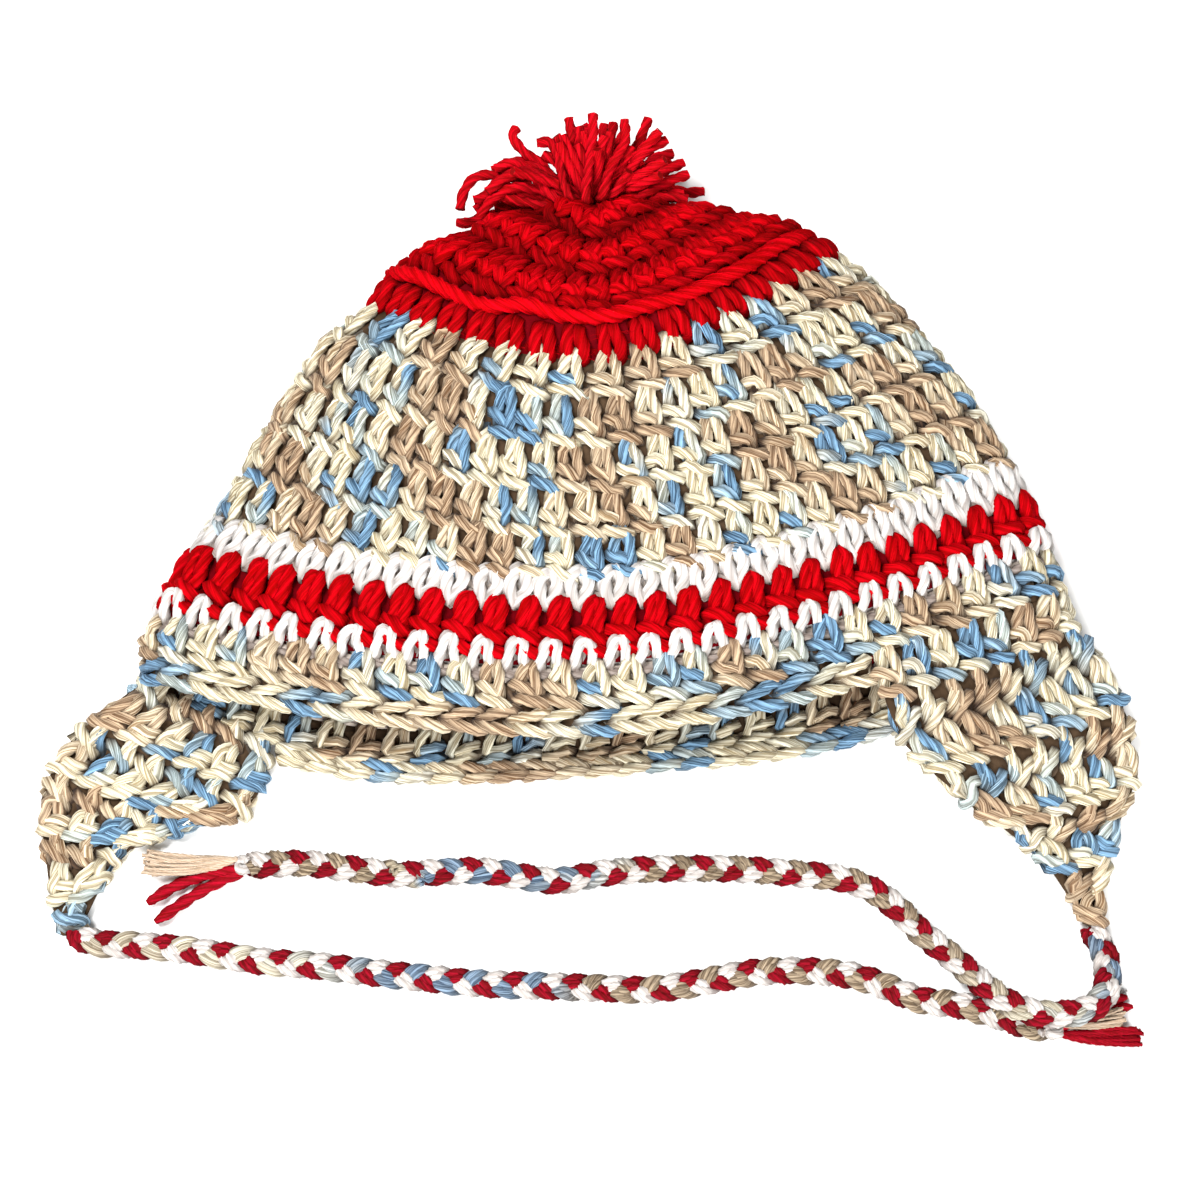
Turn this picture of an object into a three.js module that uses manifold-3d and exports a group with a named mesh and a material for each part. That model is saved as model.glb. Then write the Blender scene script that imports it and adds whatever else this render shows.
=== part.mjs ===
// Crochet cap with two earflaps, a pompom and two braided ties, lying on its back, brim towards -Y.
// Millimetres, +Z up. The cap is one knitted tube with a flat lower layer, two round side folds and a
// domed upper layer.
import * as THREE from "three";
import { mergeVertices } from "three/addons/utils/BufferGeometryUtils.js";
import Module from "manifold-3d";

const wasm = await Module();
wasm.setup();

// Fabric
const wall = 6;
const rib = 0.5; // how much thinner the fabric is between two rows, on each face
const seam = 0.3; // clear gap between neighbouring pieces
const lowerLayer = wall / 2; // height of the middle of the layer that lies on the floor
const pressed = { from: 0.2, to: 0.8 }; // the ribs fade out as the fabric turns this far to face down
const foldSteps = 6; // facets round one side fold
const faceSteps = 14; // facets across the upper or the lower layer
const leastFacet = 0.3; // a strip's first or last facet is at least this share of a whole one

// Where the finished part's origin lies in the layout that the tables below are drawn in
const origin = { x: -3.336, y: 27.138 };

// Row ends from the crown's ridge to the brim. left and right are the x and y of the outermost points of
// the fabric's middle, fold is the radius of the side folds, top the height of the upper layer's middle,
// and the two sags say how far the upper and the lower layer hang towards the brim between the folds.
const rows = [
  { end: "ridge", left: [-58.5, 93.5], right: [60, 105.5], fold: 17, top: 47, sagTop: 30, sagLow: 30 },
  { end: "crownSide", left: [-63, 85], right: [66, 101], fold: 14, top: 46, sagTop: 34, sagLow: 32 },
  { end: "body1", left: [-76, 76], right: [78, 91], fold: 12, top: 45, sagTop: 36, sagLow: 34 },
  { end: "body2", left: [-84.5, 62], right: [88, 79], fold: 10.5, top: 43, sagTop: 36, sagLow: 34 },
  { end: "body3", left: [-92, 48], right: [98, 66], fold: 10, top: 41, sagTop: 34.5, sagLow: 33 },
  { end: "body4", left: [-99, 33.5], right: [106, 52.5], fold: 9.5, top: 39.5, sagTop: 32.5, sagLow: 32 },
  { end: "body5", left: [-106.5, 20], right: [113, 38], fold: 9, top: 38, sagTop: 29.5, sagLow: 31 },
  { end: "whiteUpper", left: [-111, 14], right: [116.5, 30], fold: 9, top: 37, sagTop: 29, sagLow: 30.5 },
  { end: "redBand", left: [-118, -2.5], right: [120.5, 17], fold: 9, top: 35.5, sagTop: 28, sagLow: 30 },
  { end: "whiteLower", left: [-121, -9], right: [122.5, 10.5], fold: 9, top: 34.5, sagTop: 28, sagLow: 30 },
  { end: "brim", left: [-122, -16], right: [124.5, 2.5], fold: 9, top: 33.5, sagTop: 27.5, sagLow: 30 },
  { end: "edging", left: [-121.5, -22], right: [127, -4], fold: 9, top: 32.5, sagTop: 27.5, sagLow: 30 },
];
const bowTop = 1.7; // power of the upper layer's sag: low is pointed, high is flat in the middle
const bowLow = 3.5;

// Crown disc inside the ridge, folded like a pillow's end
const discRounds = [0, 0.365, 0.68, 1]; // round ends as shares of the way from its middle to the ridge
const discMiddle = { x: -1.4, y: 116, z: 20 };
const discBulge = { side: 0.7, top: 0.85, low: 0.5 }; // powers that round the disc outwards

// Rows are numbered down from the middle of the disc
const ridgeRow = discRounds.length - 1;
const rowNumber = (end) => ridgeRow + rows.findIndex((row) => row.end === end);

// Earflap rows from the brim to the tip, with the middle of both edges a and b of each row. The first row
// hangs on the brim between the places from and to: 0 to 1 is the right fold, 1 to 2 the upper layer, 2 to
// 3 the left fold and 3 to 4 the lower layer. bow is how far each row's middle reaches ahead of its edges.
const earflapLeft = {
  from: 2.62,
  to: 3.107,
  bow: 1.5,
  rows: [
    { aX: -129.5, aY: -23.5, aZ: 10, bX: -90, bY: -42, bZ: 3 },
    { aX: -138, aY: -29.5, aZ: 8, bX: -91.5, bY: -50, bZ: 3 },
    { aX: -145, aY: -36, aZ: 6, bX: -95.5, bY: -56, bZ: 3 },
    { aX: -149, aY: -43, aZ: 4.5, bX: -105, bY: -58, bZ: 3 },
    { aX: -151.5, aY: -51, aZ: 3.5, bX: -114, bY: -60.5, bZ: 3 },
    { aX: -150.5, aY: -60, aZ: 3, bX: -123, bY: -63, bZ: 3 },
    { aX: -148.5, aY: -69, aZ: 3, bX: -130, bY: -69, bZ: 3 },
    { aX: -146.5, aY: -79, aZ: 3, bX: -134, bY: -77, bZ: 3 },
    { aX: -143, aY: -88, aZ: 3, bX: -137, bY: -84, bZ: 3 },
  ],
};
const earflapRight = {
  from: 1.2,
  to: 0.45,
  bow: 1.5,
  rows: [
    { aX: 74, aY: -32, aZ: 30, bX: 130, bY: -6, bZ: 13 },
    { aX: 78, aY: -42, aZ: 28, bX: 137, bY: -15, bZ: 12 },
    { aX: 87, aY: -50, aZ: 24, bX: 142, bY: -27, bZ: 11 },
    { aX: 96, aY: -56, aZ: 19, bX: 144, bY: -38, bZ: 9 },
    { aX: 105, aY: -61, aZ: 14, bX: 144, bY: -48, bZ: 7 },
    { aX: 113, aY: -66, aZ: 10, bX: 140, bY: -57, bZ: 5 },
    { aX: 120, aY: -72, aZ: 7, bX: 137, bY: -66, bZ: 4 },
    { aX: 125, aY: -79, aZ: 5, bX: 134, bY: -75, bZ: 3.5 },
    { aX: 128, aY: -85, aZ: 4, bX: 132.5, bY: -84, bZ: 3.2 },
  ],
};

// Pompom: locks fused to a small head on the middle of the crown disc. tilt is the angle from +Y, count the
// locks on that ring, reach their length and turn the first lock's angle.
const pomHead = { radius: 8, lift: 7.3, squash: 0.5 };
const pomRings = [
  { tilt: 8, count: 1, reach: 19, turn: 0 },
  { tilt: 38, count: 6, reach: 20, turn: 30 },
  { tilt: 66, count: 9, reach: 25, turn: 10 },
  { tilt: 88, count: 9, reach: 32, turn: 0 },
];
const pomLock = { root: 3.6, belly: 4.6, tip: 2.6, facets: 6 };
const pomFloor = 1.6; // the locks stay this far above the floor

// Ties: flat three-strand braids, laid on the floor. Each point is the braid's middle.
const tie = { width: 7.4, thickness: 5, sides: 8 };
const tieHeight = 2.6;
const floorGap = 0.1; // between the loose ends and the floor
const tieLeftRoute = [
  [-139.2, -86.9, 2.6],
  [-137, -89, 2.6],
  [-132, -90.2, 2.6],
  [-125, -90.6, 2.6],
  [-114, -91.4, 2.6],
  [-102, -93, 2.6],
  [-89, -95, 2.6],
  [-74, -96.2, 2.6],
  [-61, -97.8, 2.6],
  [-48, -99.2, 2.6],
  [-32, -100.8, 2.6],
  [-16, -101.4, 2.6],
  [0, -102, 2.6],
  [13, -102.4, 2.6],
  [26, -100.6, 2.6],
  [40, -98, 2.6],
  [53, -97.4, 2.6],
  [66, -98.6, 2.6],
  [74, -101, 2.6],
  [84, -105, 2.6],
  [95, -106.6, 2.6],
  [105, -109.4, 2.6],
  [112, -111.8, 2.6],
  [117, -112.4, 2.6],
];
const tieRightRoute = [
  [130.8, -86.3, 3],
  [131.8, -89, 3],
  [133.4, -92.8, 3.6],
  [133.6, -98, 5.2],
  [132.4, -103.6, 7.4],
  [129, -107.6, 8.2],
  [123, -109.4, 8.3],
  [115, -109.6, 8.3],
  [108, -107.4, 8.2],
  [102.6, -103.4, 6.6],
  [97, -97.6, 3.8],
  [91, -92, 3],
  [85, -87, 2.8],
  [80, -81.6, 2.8],
  [74, -76.6, 2.8],
  [67, -73.4, 2.8],
  [59, -72, 2.8],
  [48, -71, 2.8],
  [38, -70.2, 2.8],
  [27, -70, 2.8],
  [13, -70.2, 2.8],
  [0, -71.4, 2.8],
  [-11, -73.4, 2.8],
  [-21, -72.2, 2.8],
  [-32, -70.6, 2.8],
  [-43, -71, 2.8],
  [-54, -71.6, 2.8],
  [-67, -70, 2.8],
  [-80, -68.6, 2.8],
  [-94, -69.2, 2.8],
];

// Loose yarn ends past each braid. Each bundle runs from start to x, y, with its radii at root and tip.
const tieLeftEnds = {
  start: [119.3, -112.6],
  bundles: [
    { x: 142, y: -114.6, root: 1.6, tip: 2.2 },
    { x: 137.5, y: -109.6, root: 1.4, tip: 2 },
    { x: 139.5, y: -105.4, root: 1.3, tip: 1.5 },
  ],
};
const tieRightEnds = {
  start: [-96.3, -69.3],
  bundles: [
    { x: -121, y: -67.6, root: 1.7, tip: 2.4 },
    { x: -121, y: -79.6, root: 1.3, tip: 1.5 },
    { x: -119.5, y: -85.4, root: 1.3, tip: 1.5 },
  ],
};
const endFacets = 6;
const endKnot = 1.9; // radius of the knot that the ends spread from

// Colours of the yarns
const red = { color: 0xc8041c, roughness: 0.9, metalness: 0 };
const white = { color: 0xf4f1ec, roughness: 0.9, metalness: 0 };
const tweed = { color: 0xc9b69c, roughness: 0.92, metalness: 0 };
const braid = { color: 0xb8223a, roughness: 0.9, metalness: 0 };

// Upper arc of a fold meets the dome at this angle, so that both have the same slope there
function foldAngle(row) {
  const half = halfWidth(row);
  let angle = Math.PI / 2;
  for (let pass = 0; pass < 12; pass += 1) {
    const reach = half - row.fold + row.fold * Math.cos(angle);
    const height = lowerLayer + row.fold + row.fold * Math.sin(angle);
    angle = Math.atan2(reach, 2 * (row.top - height));
  }
  return angle;
}

function halfWidth(row) {
  return (row.right[0] - row.left[0]) / 2;
}

function middleX(row) {
  return (row.left[0] + row.right[0]) / 2;
}

// Middle of the fabric at place q of 0 to 4 round one row end
function profilePoint(row, q) {
  const around = ((q % 4) + 4) % 4;
  const half = halfWidth(row);
  const upper = foldAngle(row);
  const straight = half - row.fold;
  const sweep = upper + Math.PI / 2;
  const reach = straight + row.fold * Math.cos(upper);
  const shoulder = lowerLayer + row.fold + row.fold * Math.sin(upper);
  let x;
  let z;
  if (around < 1 || (around >= 2 && around < 3)) {
    const angle = around < 1 ? -Math.PI / 2 + sweep * around : upper - sweep * (around - 2);
    x = (straight + row.fold * Math.cos(angle)) * (around < 1 ? 1 : -1);
    z = lowerLayer + row.fold + row.fold * Math.sin(angle);
  } else if (around < 2) {
    x = reach * (1 - 2 * (around - 1));
    z = row.top - (row.top - shoulder) * (x / reach) ** 2;
  } else {
    x = straight * (2 * (around - 3) - 1);
    z = lowerLayer;
  }
  const share = Math.min(1, Math.abs(x) / half);
  const isLower = z < lowerLayer + row.fold;
  const sag = isLower ? row.sagLow * (1 - share ** bowLow) : row.sagTop * (1 - share ** bowTop);
  const chord = (row.left[1] + row.right[1]) / 2 + ((row.right[1] - row.left[1]) / 2) * (x / half);
  return new THREE.Vector3(middleX(row) + x, chord - sag, z);
}

// Row outline part of the way from one row end to the next
function mixRows(first, second, share) {
  const mix = (a, b) => (Array.isArray(a) ? a.map((value, i) => mix(value, b[i])) : a + (b - a) * share);
  const sizes = Object.keys(first).filter((key) => key !== "end");
  return Object.fromEntries(sizes.map((key) => [key, mix(first[key], second[key])]));
}

// Middle of the crown disc's fabric, share 0 at its middle and 1 at the ridge
function discPoint(q, share) {
  const rim = profilePoint(rows[0], q);
  const side = Math.abs(rim.x - middleX(rows[0])) / halfWidth(rows[0]);
  const bulge = rim.z > discMiddle.z ? discBulge.top : discBulge.low;
  return new THREE.Vector3(
    discMiddle.x + (rim.x - discMiddle.x) * share,
    discMiddle.y + (rim.y - discMiddle.y) * share ** (1 + discBulge.side * side * side),
    discMiddle.z + (rim.z - discMiddle.z) * share ** bulge,
  );
}

// Middle of the fabric at place q and row number v, which may lie between two row ends
function fabricPoint(q, v) {
  if (v < ridgeRow) {
    const round = Math.floor(v);
    const share = discRounds[round] + (discRounds[round + 1] - discRounds[round]) * (v - round);
    return discPoint(q, share);
  }
  const k = Math.min(Math.floor(v - ridgeRow), rows.length - 2);
  return profilePoint(mixRows(rows[k], rows[k + 1], v - ridgeRow - k), q);
}

// Direction down the rows and outward direction at one place
function fabricFrame(q, v) {
  const stepQ = 0.02;
  const stepV = 0.02;
  const last = ridgeRow + rows.length - 1;
  const low = Math.max(0, v - stepV);
  const high = Math.min(last, v + stepV);
  const down = fabricPoint(q, high).sub(fabricPoint(q, low)).normalize();
  if (v < stepV) {
    return { down, out: new THREE.Vector3(0, 1, 0) };
  }
  const across = fabricPoint(q + stepQ, v).sub(fabricPoint(q - stepQ, v));
  return { down, out: across.cross(down).normalize() };
}

// One cross-section of the fabric as a closed outline: outer face down the rows, inner face back up.
// stations are { v, swell, shift }: swell 1 is the full thickness, shift moves a row end along the fabric.
function wallSection(q, stations) {
  const outer = [];
  const inner = [];
  for (const { v, swell, shift } of stations) {
    const { down, out } = fabricFrame(q, v);
    const flat = THREE.MathUtils.clamp((-out.z - pressed.from) / (pressed.to - pressed.from), 0, 1);
    const half = wall / 2 - rib * (1 - swell) * (1 - flat);
    const middle = fabricPoint(q, v).addScaledVector(down, shift);
    outer.push(onFloor(middle.clone().addScaledVector(out, half)));
    inner.push(middle.clone().addScaledVector(out, -half));
  }
  return [...outer, ...inner.reverse()];
}

function onFloor(point) {
  point.z = Math.max(0, point.z);
  return point;
}

// Stations of the rows from start to end: thin at each row end, full in each row's middle
function rowStations(start, end) {
  const stations = [];
  for (let v = start; v <= end; v += 0.5) {
    const atStart = v === start;
    const shift = (atStart && start > 0 ? seam / 2 : 0) - (v === end ? seam / 2 : 0);
    stations.push({ v, swell: Number.isInteger(v) ? 0 : 1, shift });
  }
  return stations;
}

// Places round the cap from one q to another, denser in the folds
function placesAround(from, to) {
  const places = [from];
  for (let side = Math.floor(from); side < to; side += 1) {
    const steps = side % 2 === 0 ? foldSteps : faceSteps;
    for (let step = 0; step < steps; step += 1) {
      const q = side + step / steps;
      const clear = leastFacet / steps;
      if (q > from + clear && q < to - clear) {
        places.push(q);
      }
    }
  }
  return places;
}

// Closed solid through a list of outlines with equally many points. A ring joins its last outline to its
// first, and anything else gets an end face that pairs the outline's first half with its second. The strip
// that closes the outline is split the other way, so that the rims of two neighbouring rings lie parallel.
function solidThrough(sections, isRing) {
  const count = sections[0].length;
  const points = sections.flat();
  const faces = [];
  const addFace = (a, b, c) => {
    const isThin = [[a, b], [b, c], [c, a]].some(([i, j]) => points[i].distanceTo(points[j]) < 1e-5);
    if (!isThin) {
      faces.push(a, b, c);
    }
  };
  const spans = isRing ? sections.length : sections.length - 1;
  for (let s = 0; s < spans; s += 1) {
    const here = s * count;
    const next = ((s + 1) % sections.length) * count;
    for (let p = 0; p < count; p += 1) {
      const p2 = (p + 1) % count;
      if (p2 === 0) {
        addFace(here + p, here + p2, next + p);
        addFace(here + p2, next + p2, next + p);
      } else {
        addFace(here + p, here + p2, next + p2);
        addFace(here + p, next + p2, next + p);
      }
    }
  }
  if (!isRing) {
    const last = (sections.length - 1) * count;
    for (let p = 0; p < count / 2 - 1; p += 1) {
      const mate = count - 1 - p;
      addFace(p, mate, mate - 1);
      addFace(p, mate - 1, p + 1);
      addFace(last + p, last + mate - 1, last + mate);
      addFace(last + p, last + p + 1, last + mate - 1);
    }
  }
  const geometry = new THREE.BufferGeometry().setFromPoints(points);
  geometry.setIndex(faces);
  return facingOut(mergeVertices(geometry, 1e-5));
}

// Turns all faces over where the signed volume is negative
function facingOut(geometry) {
  const position = geometry.getAttribute("position");
  const index = geometry.getIndex();
  const corner = (i) => new THREE.Vector3().fromBufferAttribute(position, index.getX(i));
  let volume = 0;
  for (let i = 0; i < index.count; i += 3) {
    volume += corner(i).dot(corner(i + 1).cross(corner(i + 2)));
  }
  if (volume < 0) {
    for (let i = 0; i < index.count; i += 3) {
      const first = index.getX(i);
      index.setX(i, index.getX(i + 1));
      index.setX(i + 1, first);
    }
  }
  return geometry;
}

// Rows from one row end to another, all the way round the cap
function knittedRing(start, end) {
  const stations = rowStations(start, end);
  const sections = placesAround(0, 4).map((q) => wallSection(q, stations));
  return solidThrough(sections, true);
}

// The same rows over part of the way round
function knittedStrip(start, end, from, to) {
  const stations = rowStations(start, end);
  const sections = [...placesAround(from, to), to].map((q) => wallSection(q, stations));
  return solidThrough(sections, false);
}

// Columns across an earflap, at the brim's own facets: the brim's point and outward direction there, and
// share w of the way from edge a to edge b, measured along the brim
function flapColumns(flap) {
  const low = Math.min(flap.from, flap.to);
  const high = Math.max(flap.from, flap.to);
  const places = [...placesAround(low, high), high];
  if (flap.to < flap.from) {
    places.reverse();
  }
  const brimRow = rowNumber("brim");
  let length = 0;
  let previous = null;
  const columns = places.map((q) => {
    const { down, out } = fabricFrame(q, brimRow);
    const brim = fabricPoint(q, brimRow).addScaledVector(down, seam / 2);
    length += previous ? brim.distanceTo(previous) : 0;
    previous = brim;
    return { brim, out, w: length };
  });
  return columns.map((column) => ({ ...column, w: column.w / length }));
}

// Middle of an earflap's fabric at row i, which may be a half, and share w of the way from edge a to edge b
function flapPoint(flap, brim, i, w) {
  const rowPoint = (k) => {
    const row = flap.rows[k];
    const tip = flap.rows[flap.rows.length - 1];
    const lean = new THREE.Vector3(tip.aX - flap.rows[0].aX, tip.aY - flap.rows[0].aY, 0).normalize();
    return new THREE.Vector3(row.aX, row.aY, row.aZ)
      .lerp(new THREE.Vector3(row.bX, row.bY, row.bZ), w)
      .addScaledVector(lean, flap.bow * 4 * w * (1 - w));
  };
  const k = Math.min(Math.floor(i), flap.rows.length - 1);
  const start = k === 0 ? brim.clone() : rowPoint(k - 1);
  return start.lerp(rowPoint(Math.min(k, flap.rows.length - 1)), i - k);
}

function earflap(flap, outerSign) {
  const sections = [];
  const columns = flapColumns(flap);
  const rowCount = flap.rows.length;
  const middle = (i, k) => flapPoint(flap, columns[k].brim, i, columns[k].w);
  for (let i = 0; i <= rowCount; i += 0.5) {
    const outer = [];
    const inner = [];
    for (let k = 0; k < columns.length; k += 1) {
      const down = middle(Math.min(rowCount, i + 0.1), k).sub(middle(Math.max(0, i - 0.1), k));
      const across = middle(i, Math.min(columns.length - 1, k + 1)).sub(middle(i, Math.max(0, k - 1)));
      const out = i === 0 ? columns[k].out : across.cross(down).normalize().multiplyScalar(outerSign);
      const half = wall / 2 - (Number.isInteger(i) ? rib : 0);
      outer.push(onFloor(middle(i, k).addScaledVector(out, half)));
      inner.push(onFloor(middle(i, k).addScaledVector(out, -half)));
    }
    sections.push([...outer, ...inner.reverse()]);
  }
  return solidThrough(sections, false);
}

// Closed mesh to a solid that can be joined, and back
function toSolid(geometry) {
  const bare = geometry.clone();
  bare.deleteAttribute("normal");
  bare.deleteAttribute("uv");
  const merged = mergeVertices(bare, 1e-4);
  const vertProperties = new Float32Array(merged.getAttribute("position").array);
  const triVerts = new Uint32Array(merged.getIndex().array);
  return new wasm.Manifold(new wasm.Mesh({ numProp: 3, vertProperties, triVerts }));
}

function toGeometry(solid) {
  const mesh = solid.getMesh();
  const geometry = new THREE.BufferGeometry();
  geometry.setAttribute("position", new THREE.BufferAttribute(new Float32Array(mesh.vertProperties), 3));
  geometry.setIndex(new THREE.BufferAttribute(new Uint32Array(mesh.triVerts), 1));
  return geometry;
}

function fused(geometries) {
  const solids = geometries.map(toSolid);
  return toGeometry(solids.reduce((whole, piece) => whole.add(piece)));
}

// Round bundle of yarn from one point to another, with its radii at the root, in the middle and at the tip
function bundle(from, to, radii, facets) {
  const along = to.clone().sub(from);
  const geometry = new THREE.CylinderGeometry(radii.tip, radii.root, along.length(), facets, 3);
  const position = geometry.getAttribute("position");
  const length = along.length();
  for (let i = 0; i < position.count; i += 1) {
    const share = position.getY(i) / length + 0.5;
    const straight = radii.root + (radii.tip - radii.root) * share;
    const swollen = straight + (radii.belly - straight) * Math.sin(Math.PI * share) ** 2;
    position.setX(i, (position.getX(i) * swollen) / straight);
    position.setZ(i, (position.getZ(i) * swollen) / straight);
  }
  const axis = new THREE.Vector3(0, 1, 0);
  const way = along.clone().normalize();
  geometry.applyQuaternion(new THREE.Quaternion().setFromUnitVectors(axis, way));
  const middle = from.clone().addScaledVector(along, 0.5);
  return geometry.translate(middle.x, middle.y, middle.z);
}

function pompomGeometry() {
  const base = new THREE.Vector3(discMiddle.x, discMiddle.y + pomHead.lift, discMiddle.z);
  const head = new THREE.SphereGeometry(pomHead.radius, 10, 6).scale(1, pomHead.squash, 1);
  const pieces = [head.translate(base.x, base.y, base.z)];
  for (const ring of pomRings) {
    for (let k = 0; k < ring.count; k += 1) {
      const tilt = THREE.MathUtils.degToRad(ring.tilt);
      const turn = THREE.MathUtils.degToRad(ring.turn + (360 * k) / ring.count);
      const spread = Math.sin(tilt);
      const way = new THREE.Vector3(spread * Math.cos(turn), Math.cos(tilt), spread * Math.sin(turn));
      const room = way.z < 0 ? (base.z - pomFloor - pomLock.belly) / -way.z : ring.reach;
      const tip = base.clone().addScaledVector(way, Math.min(ring.reach, room));
      pieces.push(bundle(base, tip, pomLock, pomLock.facets));
    }
  }
  return fused(pieces);
}

// Braid as one flat tube along its route
function tieGeometry(route) {
  const points = route.map(([x, y, z]) => new THREE.Vector3(x, y, z));
  const curve = new THREE.CatmullRomCurve3(points, false, "centripetal");
  const outline = new THREE.Shape();
  for (let side = 0; side < tie.sides; side += 1) {
    const angle = (Math.PI * (2 * side + 1)) / tie.sides;
    const corner = [(tie.thickness / 2) * Math.cos(angle), (tie.width / 2) * Math.sin(angle)];
    if (side === 0) {
      outline.moveTo(...corner);
    } else {
      outline.lineTo(...corner);
    }
  }
  outline.closePath();
  const steps = Math.round(curve.getLength() / (tie.width * 1.1));
  const geometry = new THREE.ExtrudeGeometry(outline, { steps, bevelEnabled: false, extrudePath: curve });
  geometry.deleteAttribute("normal");
  geometry.deleteAttribute("uv");
  return facingOut(mergeVertices(geometry, 1e-4));
}

function looseEnds({ start, bundles }) {
  const root = new THREE.Vector3(start[0], start[1], tieHeight);
  const knot = new THREE.SphereGeometry(endKnot, 8, 6).translate(root.x, root.y, root.z);
  const pieces = [knot];
  for (const end of bundles) {
    const tip = new THREE.Vector3(end.x, end.y, end.tip + floorGap);
    const radii = { root: end.root, belly: (end.root + end.tip) / 2, tip: end.tip };
    pieces.push(bundle(root, tip, radii, endFacets));
  }
  return fused(pieces);
}

function piece(name, geometry, look) {
  const mesh = new THREE.Mesh(geometry, new THREE.MeshStandardMaterial(look));
  mesh.name = name;
  return mesh;
}

const brimEnd = rowNumber("brim");
const edgingEnd = rowNumber("edging");
// The edging's two stretches, in places round the brim: they stop short of the earflaps beside them
const edgingFront = { from: 1.206, to: 2.45 };
const edgingBack = { from: 3.113, to: 4.28 };

const cap = new THREE.Group();
cap.add(
  piece("crown_red", knittedRing(0, rowNumber("crownSide")), red),
  piece("body_tweed", knittedRing(rowNumber("crownSide"), rowNumber("body5")), tweed),
  piece("white_round_upper", knittedRing(rowNumber("body5"), rowNumber("whiteUpper")), white),
  piece("red_band", knittedRing(rowNumber("whiteUpper"), rowNumber("redBand")), red),
  piece("white_round_lower", knittedRing(rowNumber("redBand"), rowNumber("whiteLower")), white),
  piece("brim_tweed", knittedRing(rowNumber("whiteLower"), brimEnd), tweed),
  piece("edging_front", knittedStrip(brimEnd, edgingEnd, edgingFront.from, edgingFront.to), tweed),
  piece("edging_back", knittedStrip(brimEnd, edgingEnd, edgingBack.from, edgingBack.to), tweed),
  piece("earflap_left", earflap(earflapLeft, 1), tweed),
  piece("earflap_right", earflap(earflapRight, -1), tweed),
  piece("pompom", pompomGeometry(), red),
  piece("tie_left", tieGeometry(tieLeftRoute), braid),
  piece("tie_right", tieGeometry(tieRightRoute), braid),
  piece("tie_left_ends", looseEnds(tieLeftEnds), red),
  piece("tie_right_ends", looseEnds(tieRightEnds), red),
);
cap.position.set(-origin.x, -origin.y, 0);

export default cap;
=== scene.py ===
# Crochet cap with earflaps, a pompom and braided ties, lying on its back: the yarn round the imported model
import math

import bmesh
import bpy
import numpy as np
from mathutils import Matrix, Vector


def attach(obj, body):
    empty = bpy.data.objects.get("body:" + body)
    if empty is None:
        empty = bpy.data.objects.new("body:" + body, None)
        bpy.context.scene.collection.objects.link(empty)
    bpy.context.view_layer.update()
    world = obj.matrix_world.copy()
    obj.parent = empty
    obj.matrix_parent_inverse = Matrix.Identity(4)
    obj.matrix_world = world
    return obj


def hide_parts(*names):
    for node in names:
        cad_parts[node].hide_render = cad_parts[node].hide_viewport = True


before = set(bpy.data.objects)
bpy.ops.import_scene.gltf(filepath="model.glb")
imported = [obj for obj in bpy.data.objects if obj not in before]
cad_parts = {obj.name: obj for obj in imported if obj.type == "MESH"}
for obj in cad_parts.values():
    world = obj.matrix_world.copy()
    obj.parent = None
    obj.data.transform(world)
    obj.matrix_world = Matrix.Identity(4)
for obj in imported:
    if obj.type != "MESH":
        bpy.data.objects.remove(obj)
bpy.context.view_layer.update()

mm = 0.001
toFrame = np.array([3.336, -27.138, 0.0])  # the source's drawing tables are in mm, from another origin


def report(stage):
    print("cap:", stage)


report("camera, floor and light")

view = {
    "place": (0.003336, -0.227999, 0.638187),
    "tilt": 18.0,  # degrees from straight down
    "lens": 72.22, "sensor": 36.0,  # mm
}


def addObject(name, data):
    item = bpy.data.objects.new(name, data)
    bpy.context.scene.collection.objects.link(item)
    return item


cameraData = bpy.data.cameras.new("photoCamera")
cameraData.lens = view["lens"]
cameraData.sensor_width = view["sensor"]
camera = addObject("photoCamera", cameraData)
camera.location = view["place"]
camera.rotation_euler = (math.radians(view["tilt"]), 0.0, 0.0)
bpy.context.scene.camera = camera

studio = {
    "floor": 1.6,  # half the floor's side, metres
    "floorGap": 0.0002,  # metres from the floor up to the cap
    "floorColor": (0.93, 0.93, 0.92, 1.0),
    "aim": (0.0, -0.02, 0.02),
    "key": {"place": (-0.4, 0.12, 1.1), "size": 0.4, "power": 18.0},
    "fill": {"place": (0.1, -0.9, 0.8), "size": 0.7, "power": 20.0},
    "sky": 0.31,
}
bpy.context.scene.view_settings.view_transform = "Standard"


def setInputs(tree, node, inputs):
    for key, value in inputs.items():
        if isinstance(value, bpy.types.NodeSocket):
            tree.links.new(value, node.inputs[key])
        else:
            node.inputs[key].default_value = value


def addNode(tree, kind, inputs=None, **settings):
    node = tree.nodes.new(kind)
    for key, value in settings.items():
        setattr(node, key, value)
    setInputs(tree, node, inputs or {})
    return node


def newMaterial(name):
    material = bpy.data.materials.new(name)
    material.use_nodes = True
    return material, material.node_tree, material.node_tree.nodes["Principled BSDF"]


def addFloor():
    side, down = studio["floor"], -studio["floorGap"]
    mesh = bpy.data.meshes.new("studioFloor")
    corners = [(-side, -side, down), (side, -side, down), (side, side, down), (-side, side, down)]
    mesh.from_pydata(corners, [], [(0, 1, 2, 3)])
    paper, tree, shader = newMaterial("studioPaper")
    setInputs(tree, shader, {"Base Color": studio["floorColor"], "Roughness": 0.9})
    mesh.materials.append(paper)
    floor = addObject("studioFloor", mesh)


def addLight(name, look):
    lamp = bpy.data.lights.new(name, "AREA")
    lamp.size = look["size"]
    lamp.energy = look["power"]
    light = addObject(name, lamp)
    light.location = look["place"]
    toCap = Vector(studio["aim"]) - light.location
    light.rotation_euler = toCap.to_track_quat("-Z", "Y").to_euler()


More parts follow.
